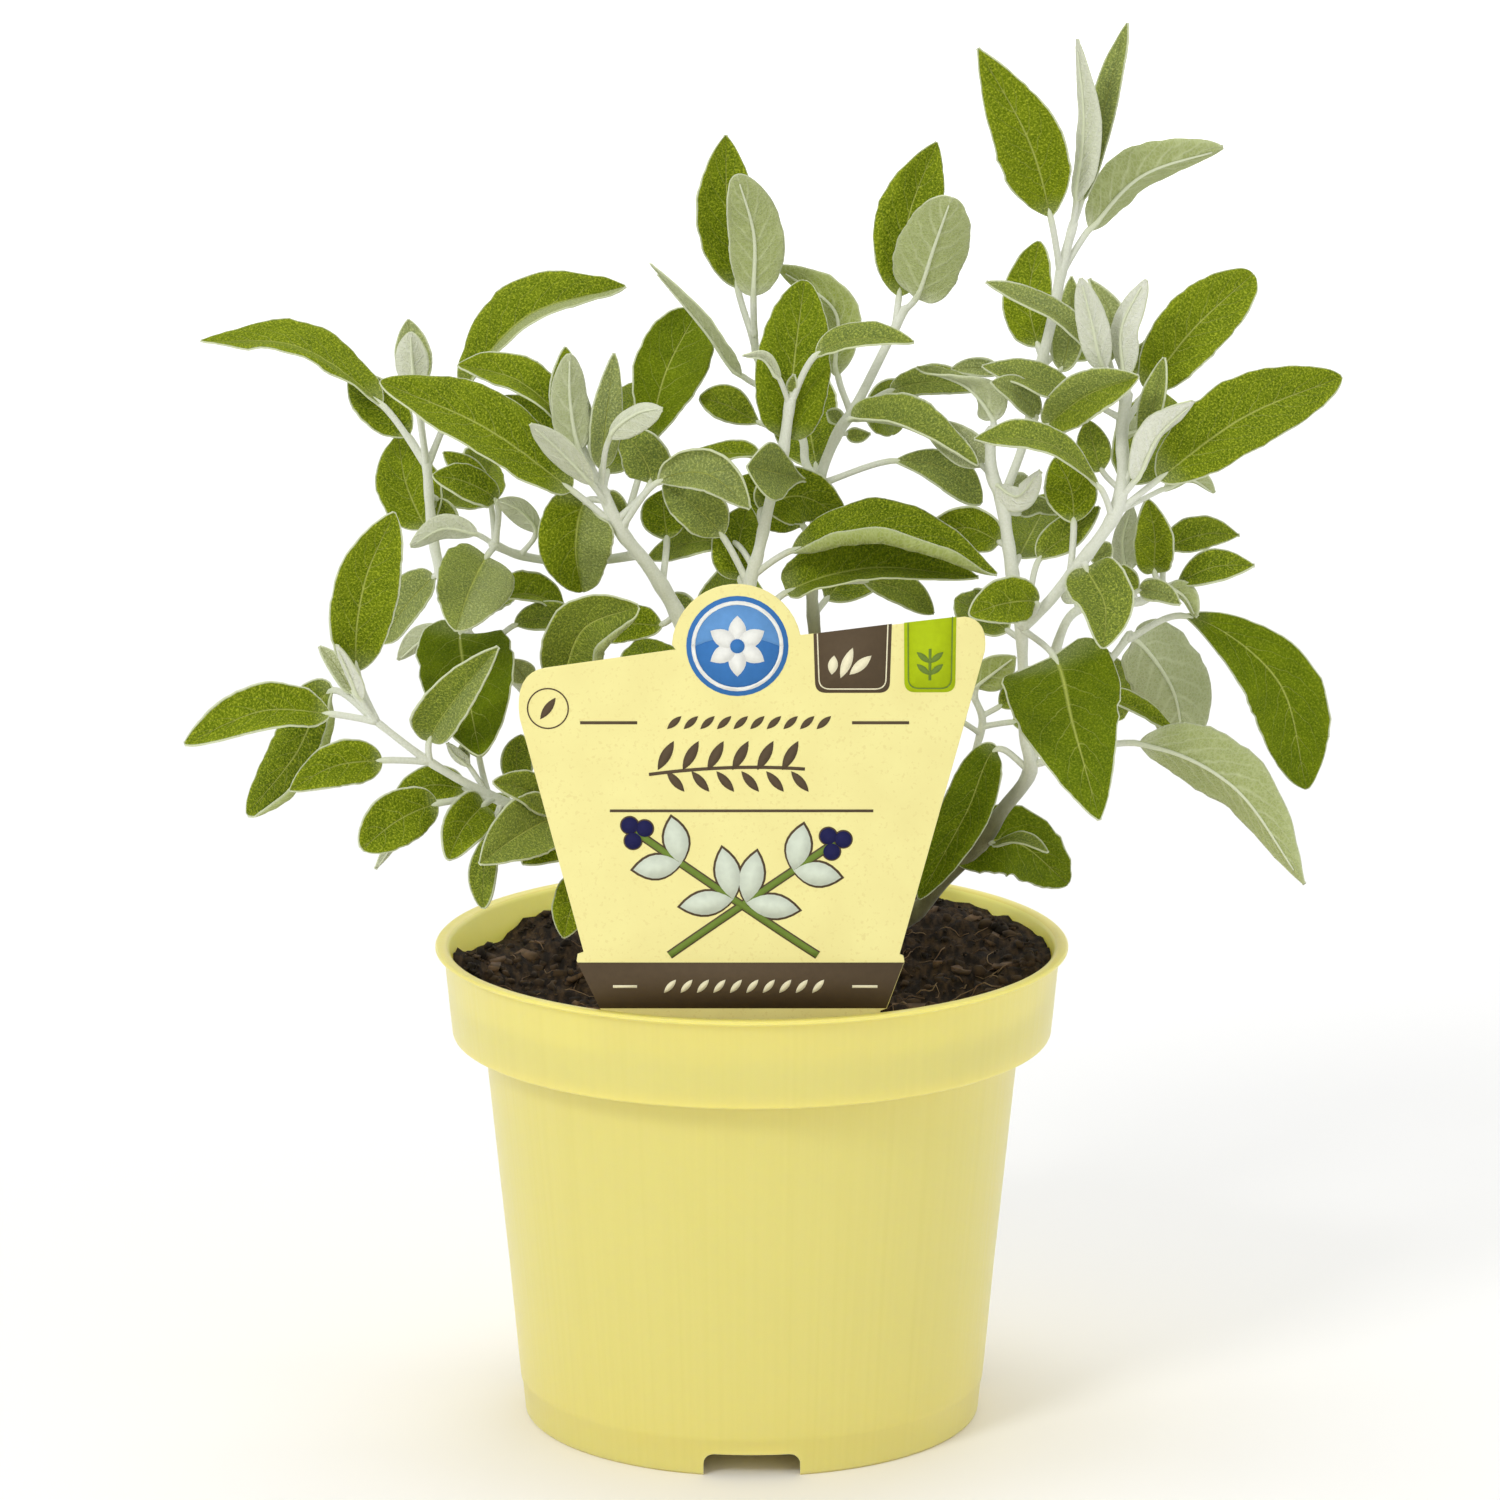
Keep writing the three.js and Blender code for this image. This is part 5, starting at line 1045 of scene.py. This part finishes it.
VEIN_SPACING = 4.2
CREASE = 0.15
BLUNT = 0.5
WIDEST_AT = 0.42
ROLL_FROM = 0.5
EYE_MM = EYE / MM
EYE_DISTANCE = -EYE_MM.y


def seen(across, up, depth):
    """A place given as seen from the front, at its depth."""
    return EYE_MM + (Vector((across, 0, up)) - EYE_MM) * (1 - depth / EYE_DISTANCE)


def as_seen(place):
    """Where a place shows on the upright plane through the pot's middle."""
    on_plane = EYE_MM + (place - EYE_MM) * EYE_DISTANCE / (place.y + EYE_DISTANCE)
    return Vector((on_plane.x, on_plane.z))


def smooth(points, share):
    """A place on a smooth curve through all the points, with equal shares for its spans."""
    run = min(max(share, 0), 1) * (len(points) - 1)
    i = min(int(run), len(points) - 2)
    t = run - i
    b, c = points[i], points[i + 1]
    a = points[i - 1] if i > 0 else 2 * b - c
    d = points[i + 2] if i + 2 < len(points) else 2 * c - b
    before, here, after = (math.sqrt((q - p).length) for p, q in ((a, b), (b, c), (c, d)))
    leave = ((b - a) / before - (c - a) / (before + here) + (c - b) / here) * here
    arrive = ((c - b) / here - (d - b) / (here + after) + (d - c) / after) * here
    return (b + leave * t + (3 * (c - b) - 2 * leave - arrive) * t ** 2
            + (2 * (b - c) + leave + arrive) * t ** 3)


def heading(points, share):
    """The direction of the curve there."""
    return (smooth(points, share + 1e-3) - smooth(points, share - 1e-3)).normalized()


def grow_shoot(bm, stations, radii, foot, bark_top, leaf_feet):
    """One stem or side shoot, swollen a little where leaves stand. Returns its middle line."""
    length = sum((q - p).length for p, q in zip(stations, stations[1:]))
    rows = max(6, round(length / RING_EVERY))
    centres = [smooth(stations, i / rows) for i in range(rows + 1)]
    line = centres[:-1]
    widths = []
    for i in range(rows + 1):
        run = i / rows * (len(stations) - 1)
        below = min(int(run), len(stations) - 2)
        width = radii[below] + (radii[below + 1] - radii[below]) * (run - below)
        place = as_seen(centres[i])
        swell = sum(math.exp(-((place - leaf_foot).length / NODE_REACH) ** 2)
                    for leaf_foot in leaf_feet)
        widths.append(width * (1 + NODE_SWELL * min(1, swell)))
    if foot:
        centres.insert(0, centres[0] - Vector((0, 0, foot)))
        widths.insert(0, widths[0])
    barks = [1 - smoothstep(as_seen(c).y, bark_top - BARK_FADE[0], bark_top + BARK_FADE[1])
             for c in centres]
    tip = centres[-1] + (centres[-1] - centres[-2]).normalized() * widths[-1] * 0.7
    centres.append(tip)
    widths.append(widths[-1] * 0.35)
    barks.append(barks[-1])
    widths = [w * (STEM_SLIM + (1 - STEM_SLIM) * bark) for w, bark in zip(widths, barks)]
    tube(bm, centres, widths, STEM_SIDES, {"bark": barks})
    return line


def blade_share(t, foot_blunt, tip_blunt, widest):
    """Half-width of a blade along its length, as a share of its widest."""
    run = min(1, max(0, t)) ** (math.log(0.5) / math.log(widest))
    return math.sin(math.pi * run) ** (0.72 - 0.24 * (foot_blunt if run < 0.5 else tip_blunt))


def half_section(fold, bend, roll):
    """Sideways and upward places, from midrib to margin, of half a blade one unit wide. It
    stands up from the midrib by its fold, bends on the way and rolls near the margin."""
    columns = BLADE_COLUMNS // 2
    places = [(0, 0)]
    for i in range(columns):
        reach = (i + 0.5) / columns
        angle = fold + bend * reach + roll * smoothstep(reach, ROLL_FROM, 1)
        x, z = places[-1]
        places.append((x + math.cos(angle) / columns, z + math.sin(angle) / columns))
    keep = min(1.5, 1 / max(x for x, z in places))
    return [(x * keep, z * keep) for x, z in places]


def grow_leaf(blade_bm, stalk_bm, lines, number, row, draw):
    """One leaf: its stalk runs on under the blade as its midrib."""
    foot, base, middle, tip, tip_depth, width, face = row[:7]
    habit = row[-1] if isinstance(row[-1], dict) else {}
    twist = row[7] if len(row) > 7 and not isinstance(row[7], dict) else 0
    target = Vector(foot)
    root = min((p for line in lines for p in line), key=lambda p: (as_seen(p) - target).length)
    places = [as_seen(root), Vector(base), Vector(middle), Vector(tip)]
    stalk, lower, upper = [(q - p).length for p, q in zip(places, places[1:])]
    whole = stalk + lower + upper
    arch = draw.uniform(0.3, 1.8) * ARCH * (lower + upper)
    arch *= math.cos(math.radians(face + twist / 2))
    depth_per_mm = (tip_depth + root.y) / whole
    curve = [root, seen(*base, stalk * depth_per_mm - root.y),
             seen(*middle, (stalk + lower) * depth_per_mm - root.y + arch), seen(*tip, tip_depth)]

    def across_at(t):
        """Place, side direction and upper direction at a share of the blade, below 0 on the stalk."""
        share = BLADE_START + (1 - BLADE_START) * t
        centre = smooth(curve, share)
        forward = heading(curve, share)
        to_eye = (EYE_MM - centre).normalized()
        front = (to_eye - forward * to_eye.dot(forward)).normalized()
        right = forward.cross(front)
        angle = math.radians(face + twist * max(0, t))
        up = front * math.cos(angle) + right * math.sin(angle)
        side = right * math.cos(angle) - front * math.sin(angle)
        return centre, side, up

    length = sum((smooth(curve, BLADE_START + (1 - BLADE_START) * (i + 1) / 8)
                  - smooth(curve, BLADE_START + (1 - BLADE_START) * i / 8)).length for i in range(8))
    size = smoothstep(width, *SMALL_LEAF)
    young = habit.get("young", max(0, 0.35 - width / 20 + draw.uniform(-0.1, 0.1)))
    felted = habit.get("felted", (0, 0))
    blunt = habit.get("blunt", BLUNT * draw.uniform(-0.3, 1))
    foot_blunt = habit.get("foot_blunt", blunt + 0.25)
    widest = habit.get("widest", WIDEST_AT + draw.uniform(-0.05, 0.06))
    fold = habit.get("fold", draw.uniform(0.08, 0.4))
    bends = habit.get("bend", (draw.uniform(-0.1, 0.45), draw.uniform(-0.1, 0.45)))
    rolls = habit.get("roll", (draw.uniform(-0.6, 0.45), draw.uniform(-0.6, 0.45)))
    lopsided = draw.uniform(-LOPSIDED, LOPSIDED)
    tint = draw.random()
    shift = Vector((draw.uniform(0, 500), draw.uniform(0, 500)))
    pairs = max(4, min(9, round(length / VEIN_SPACING)))

    grid = bmesh.ops.create_grid(blade_bm, x_segments=BLADE_COLUMNS, y_segments=BLADE_ROWS, size=1)
    blade_uv = blade_bm.loops.layers.uv["blade"]
    flat_uv = blade_bm.loops.layers.uv["flat"]
    layers = blade_bm.verts.layers.float
    young_felt_and_sheen_layer, tint_layer, margin_layer, pairs_layer, frost_layer = (
        layers[name] for name in ("young", "tint", "from_margin", "pairs", "frost"))
    stations = {}
    verts = grid["verts"]
    faces = {f for v in verts for f in v.link_faces}
    for vert in verts:
        across = vert.co.x
        even = (vert.co.y + 1) / 2
        t = ROWS_EVEN * even + (1 - ROWS_EVEN) * (1 - math.cos(math.pi * even)) / 2
        if t not in stations:
            open_out = 0.4 + 0.6 * smoothstep(t, 0, 0.2) * smoothstep(1 - t, 0, 0.12)
            sections = [half_section(fold, bends[i] * open_out, rolls[i] * open_out) for i in (0, 1)]
            stations[t] = across_at(t), sections
        (centre, side, up), sections = stations[t]
        ragged = (noise.noise(Vector((t * length / 2.2, across * 3, number * 7.3)))
                  + 0.6 * noise.noise(Vector((t * length / 0.9, across * 3, number * 3.1))))
        half = width / 2 * blade_share(t, foot_blunt, blunt, widest)
        toothed = RAGGED * habit.get("toothed", 1) * ragged * size
        half = max(STALK_R * 0.6, half * (1 + toothed + lopsided * across))
        swell = min(1, half / WAVE_FULL_AT)
        wave = WAVE * swell * noise.noise(Vector((t * length / 6.5, across * 1.3, number * 5.7)))
        quilt = QUILT * swell * noise.noise(Vector((across * half / 2.1, t * length / 2.1, number)))
        column = round(abs(across) * BLADE_COLUMNS / 2)
        sideways, upward = sections[int(across > 0)][column]
        sideways = math.copysign(sideways, across)
        crease = CREASE * math.exp(-abs(across * half) / 0.7)
        lift = half * upward + wave * across ** 2 + quilt - crease * swell
        vert.co = (centre + side * sideways * half + up * lift) * MM
        vert[margin_layer] = min((1 - abs(across)) * half, (1 - t) * length) * (0.7 + width / 14)
        # Painted sheen: the pair of half shares whitens one half of the blade out from the midrib. This
        # is partly thicker felt and partly the pale sheen that half shows in the light, and it goes into
        # the young felt share.
        felt_and_painted_sheen = felted[int(across > 0)] * smoothstep(abs(across), 0, 0.15)
        vert[young_felt_and_sheen_layer] = min(1, young + felt_and_painted_sheen + 0.25 * (1 - smoothstep(t, 0, 0.16)))
        vert[tint_layer] = tint
        vert[pairs_layer] = pairs
        vert[frost_layer] = habit.get("frost", 1)
        stations[vert] = (across, t, half)
    for each in faces:
        for loop in each.loops:
            across, t, half = stations[loop.vert]
            loop[blade_uv].uv = (across / 2 + 0.5, t)
            loop[flat_uv].uv = (across * half + shift.x, t * length + shift.y)

    stalk_foot = -BLADE_START / (1 - BLADE_START)
    thick = STALK_R * (0.55 + 0.45 * min(1, width / STALK_FULL_AT))
    centres, radii, ribs = [], [], []
    for i in range(STALK_ROWS + 1):
        t = stalk_foot + i / STALK_ROWS * (MIDRIB_END - stalk_foot)
        centre, side, up = across_at(t)
        on_blade = max(0, t)
        radius = (thick * (1 + 0.3 * math.exp(-(i / 2) ** 2)) * (1 - on_blade) ** 0.6
                  + MIDRIB_TIP_R)
        radius *= 1 - smoothstep(t, -0.05, 0.15) * 0.2
        under = smoothstep(t, -0.02, 0.08) * (CREASE + BLADE_T + radius * 0.3)
        centres.append(centre - up * under)
        radii.append(radius * (1 - 0.15 * smoothstep(t, -0.02, 0.1)))
        ribs.append(smoothstep(t, -0.12, 0.06))
    tube(stalk_bm, centres, radii, STALK_SIDES, {"rib": ribs})


# Looks of the leaves: olive green with a fine net and pale felt above, pale grey-green felt
# with raised veins below, and a thin whitish rim of hairs. The young felt share on both sides
# also carries painted sheen where one half of a blade is whitened.
UPPER_COLOUR = (0.080, 0.132, 0.0002, 1)
UPPER_LIGHT_COLOUR = (0.152, 0.216, 0.0006, 1)
UPPER_FELT_COLOUR = (0.48, 0.545, 0.035, 1)
YOUNG_FELT_COLOUR = (0.66, 0.69, 0.44, 1)
MIDRIB_COLOUR = (0.57, 0.63, 0.14, 1)
UNDER_COLOUR = (0.315, 0.375, 0.08, 1)
UNDER_YOUNG_COLOUR = (0.74, 0.76, 0.60, 1)
UNDER_VEIN_COLOUR = (0.56, 0.62, 0.29, 1)
RIM_COLOUR = (0.72, 0.76, 0.54, 1)
FELT_COLOUR = (0.86, 0.87, 0.78, 1)
FELT_SHADE_COLOUR = (0.64, 0.67, 0.52, 1)
BARK_BROWN = (0.13, 0.11, 0.05, 1)
BARK_GREY = (0.29, 0.29, 0.14, 1)


def leaf_masks(leaf):
    """Masks for the midrib, the side veins, the net of small veins and the margin, from the
    blade's own maps, with the shares that the blade carries."""
    calc = leaf.calc
    blade = leaf.add("SeparateXYZ", {"Vector": leaf.add("UVMap", uv_map="blade")["UV"]})
    flat = leaf.add("UVMap", uv_map="flat")["UV"]
    along = blade["Y"]
    off_midrib = calc("ABSOLUTE", calc("MULTIPLY_ADD", blade["X"], 2, -1))
    wander = leaf.noise(flat, 0.35, 1)
    bend = calc("MULTIPLY_ADD", wander, 0.25, calc("POWER", off_midrib, 1.25))
    lean = calc("MULTIPLY", bend, -0.3)
    phase = calc("FRACT", calc("MULTIPLY", calc("ADD", along, lean), leaf.layer("pairs")))
    from_vein = calc("ABSOLUTE", calc("SUBTRACT", phase, 0.5))
    vein_width = calc("MULTIPLY_ADD", off_midrib, -0.03, 0.055)
    vein = calc("SUBTRACT", 1, calc("DIVIDE", from_vein, vein_width), clamp=True)
    rib_width = calc("MULTIPLY_ADD", off_midrib, -0.07, 0.17)
    rib = calc("SUBTRACT", 1.15, calc("DIVIDE", from_vein, rib_width), clamp=True)
    midrib_width = calc("MULTIPLY_ADD", along, -0.03, 0.055)
    inward = leaf.layer("from_margin")
    net = leaf.add("TexVoronoi", {"Vector": flat, "Scale": 1.6, "Randomness": 0.9},
                   feature="DISTANCE_TO_EDGE")["Distance"]
    tuft = leaf.add("TexVoronoi", {"Vector": flat, "Scale": 2.1})["Distance"]
    return {
        "side_vein": calc("MULTIPLY", vein, calc("SUBTRACT", 1.1, off_midrib, clamp=True)),
        "side_rib": calc("MULTIPLY", rib, calc("SUBTRACT", 1.2, off_midrib, clamp=True)),
        "midrib": calc("SUBTRACT", 1, calc("DIVIDE", off_midrib, midrib_width), clamp=True),
        "margin": calc("SUBTRACT", 1.2, calc("MULTIPLY", inward, 3), clamp=True),
        "border": calc("SUBTRACT", 1, calc("MULTIPLY", inward, 0.45), clamp=True),
        "net": calc("SUBTRACT", 1, calc("MULTIPLY", net, 5), clamp=True),
        "tufts": calc("SUBTRACT", 1, calc("MULTIPLY", tuft, 1.9), clamp=True),
        "fleck": leaf.noise(flat, 2.5, 3, 0.75),
        "patch": leaf.noise(flat, 0.22, 2),
        "young": leaf.layer("young"), "frost": leaf.layer("frost"), "tint": leaf.layer("tint"),
    }


leaf_upper = Finish("leaf upper side", UPPER_COLOUR, 0.6, **{
    "Specular IOR Level": 0.08, "Sheen Weight": 0.1, "Sheen Roughness": 0.35,
    "Sheen Tint": (0.85, 0.95, 0.3, 1)})
masks = leaf_masks(leaf_upper)
calc, mixed = leaf_upper.calc, leaf_upper.mixed
lighter = calc("MULTIPLY_ADD", masks["tint"], 0.6, calc("MULTIPLY_ADD", masks["patch"], 1.6, -0.8),
               clamp=True)
specks = calc("MULTIPLY", calc("SUBTRACT", masks["fleck"], 0.5, clamp=True), 9, clamp=True)
felt_share = calc("MULTIPLY_ADD", masks["net"], 0.2, calc("MULTIPLY", specks, 0.62))
felt_share = calc("MULTIPLY_ADD", masks["border"], 0.12, felt_share, clamp=True)
felt_share = calc("MULTIPLY", masks["frost"], felt_share)
# The young share also carries the painted sheen of whitened blade halves.
young_share = calc("MULTIPLY", masks["young"], calc("MULTIPLY_ADD", specks, 0.5, 0.6), clamp=True)
green = mixed(lighter, UPPER_COLOUR, UPPER_LIGHT_COLOUR)
for share, colour in ((felt_share, UPPER_FELT_COLOUR), (young_share, YOUNG_FELT_COLOUR),
                      (calc("MULTIPLY", masks["side_vein"], 0.45), MIDRIB_COLOUR),
                      (calc("MULTIPLY", masks["midrib"], 0.9), MIDRIB_COLOUR),
                      (masks["margin"], RIM_COLOUR)):
    green = mixed(share, green, colour)
relief = calc("MULTIPLY_ADD", masks["net"], -0.4, calc("MULTIPLY", masks["fleck"], 0.5))
for mask, depth in (("tufts", 0.35), ("side_vein", -0.7), ("midrib", -1.2)):
    relief = calc("MULTIPLY_ADD", masks[mask], depth, relief)
leaf_upper.shade({"Base Color": green, "Normal": leaf_upper.relief(relief, 0.85, 0.00026)})

leaf_under = Finish("leaf underside", UNDER_COLOUR, 0.9,
                    **{"Specular IOR Level": 0.08, "Sheen Weight": 0.2})
masks = leaf_masks(leaf_under)
calc, mixed = leaf_under.calc, leaf_under.mixed
# The young share here also carries the painted sheen of whitened blade halves.
pale = mixed(masks["young"], UNDER_COLOUR, UNDER_YOUNG_COLOUR)
vein_tone = mixed(masks["young"], UNDER_VEIN_COLOUR, FELT_COLOUR)
for mask, share, tone in (("net", 0.4, vein_tone), ("side_rib", 0.6, vein_tone),
                          ("border", 0.35, vein_tone), ("margin", 0.6, RIM_COLOUR)):
    pale = mixed(calc("MULTIPLY", masks[mask], share), pale, tone)
relief = calc("MULTIPLY_ADD", masks["net"], 0.4, calc("MULTIPLY", masks["side_rib"], 0.6))
relief = calc("MULTIPLY_ADD", masks["fleck"], 0.5, relief)
leaf_under.shade({"Base Color": pale, "Normal": leaf_under.relief(relief, 0.8, 0.00028)})

leaf_rim = Finish("leaf rim", RIM_COLOUR, 0.95, **{"Sheen Weight": 0.5})
hairs = leaf_rim.noise(leaf_rim.add("UVMap", uv_map="flat")["UV"], 5)
leaf_rim.shade({"Base Color": leaf_rim.mixed(hairs, RIM_COLOUR, UNDER_VEIN_COLOUR)})

felt = Finish("stem felt", FELT_COLOUR, 0.95, **{"Specular IOR Level": 0.15, "Sheen Weight": 0.4})
where = felt.place()
fuzz = felt.noise(where, 2600, 4)
streak = felt.noise(felt.stretched(where, (900, 900, 160)), 1, 5)
skin = felt.mixed(felt.layer("bark"), felt.mixed(fuzz, FELT_SHADE_COLOUR, FELT_COLOUR),
                  felt.mixed(streak, BARK_BROWN, BARK_GREY))
felt.shade({"Base Color": felt.mixed(felt.layer("rib"), skin, RIM_COLOUR),
            "Normal": felt.relief(felt.calc("ADD", fuzz, streak), 0.7, 0.0002)})

for node, stem in LEAFY_STEMS.items():
    draw = random.Random(len(stem["leaves"]) * 10 + len(node))
    stalk_bm = bmesh.new()
    for layer in ("bark", "rib"):
        stalk_bm.verts.layers.float.new(layer)
    blade_bm = bmesh.new()
    blade_bm.loops.layers.uv.new("blade")
    blade_bm.loops.layers.uv.new("flat")
    for layer in ("young", "tint", "pairs", "from_margin", "frost"):
        blade_bm.verts.layers.float.new(layer)
    x, y = stem["soil"]
    collar = Vector((x, y, SOIL_Z + bump(x, y) + STEM_RISE))
    leaf_feet = [Vector(row[0]) for row in stem["leaves"]]
    bark_top = BARK_UP_TO.get(node, 0)
    main = [collar] + [seen(*point[:3]) for point in stem["path"]]
    main_radii = [stem["path"][0][3]] + [point[3] for point in stem["path"]]
    lines = [grow_shoot(stalk_bm, main, main_radii, STEM_SUNK, bark_top, leaf_feet)]
    for shoot in stem.get("shoots", []):
        lines.append(grow_shoot(stalk_bm, [seen(*point[:3]) for point in shoot],
                                [point[3] for point in shoot], 0, bark_top, leaf_feet))
    for number, row in enumerate(stem["leaves"]):
        grow_leaf(blade_bm, stalk_bm, lines, number, row, draw)
    add_piece(node + "_and_stalks", stalk_bm, [felt], node)
    blades = add_piece(node + "_leaves", blade_bm, [leaf_upper, leaf_under, leaf_rim], node)
    thicken = blades.modifiers.new("thickness", "SOLIDIFY")
    thicken.thickness = BLADE_T * MM
    thicken.offset = -1
    thicken.material_offset = 1
    thicken.material_offset_rim = 2
    thicken.use_rim = True
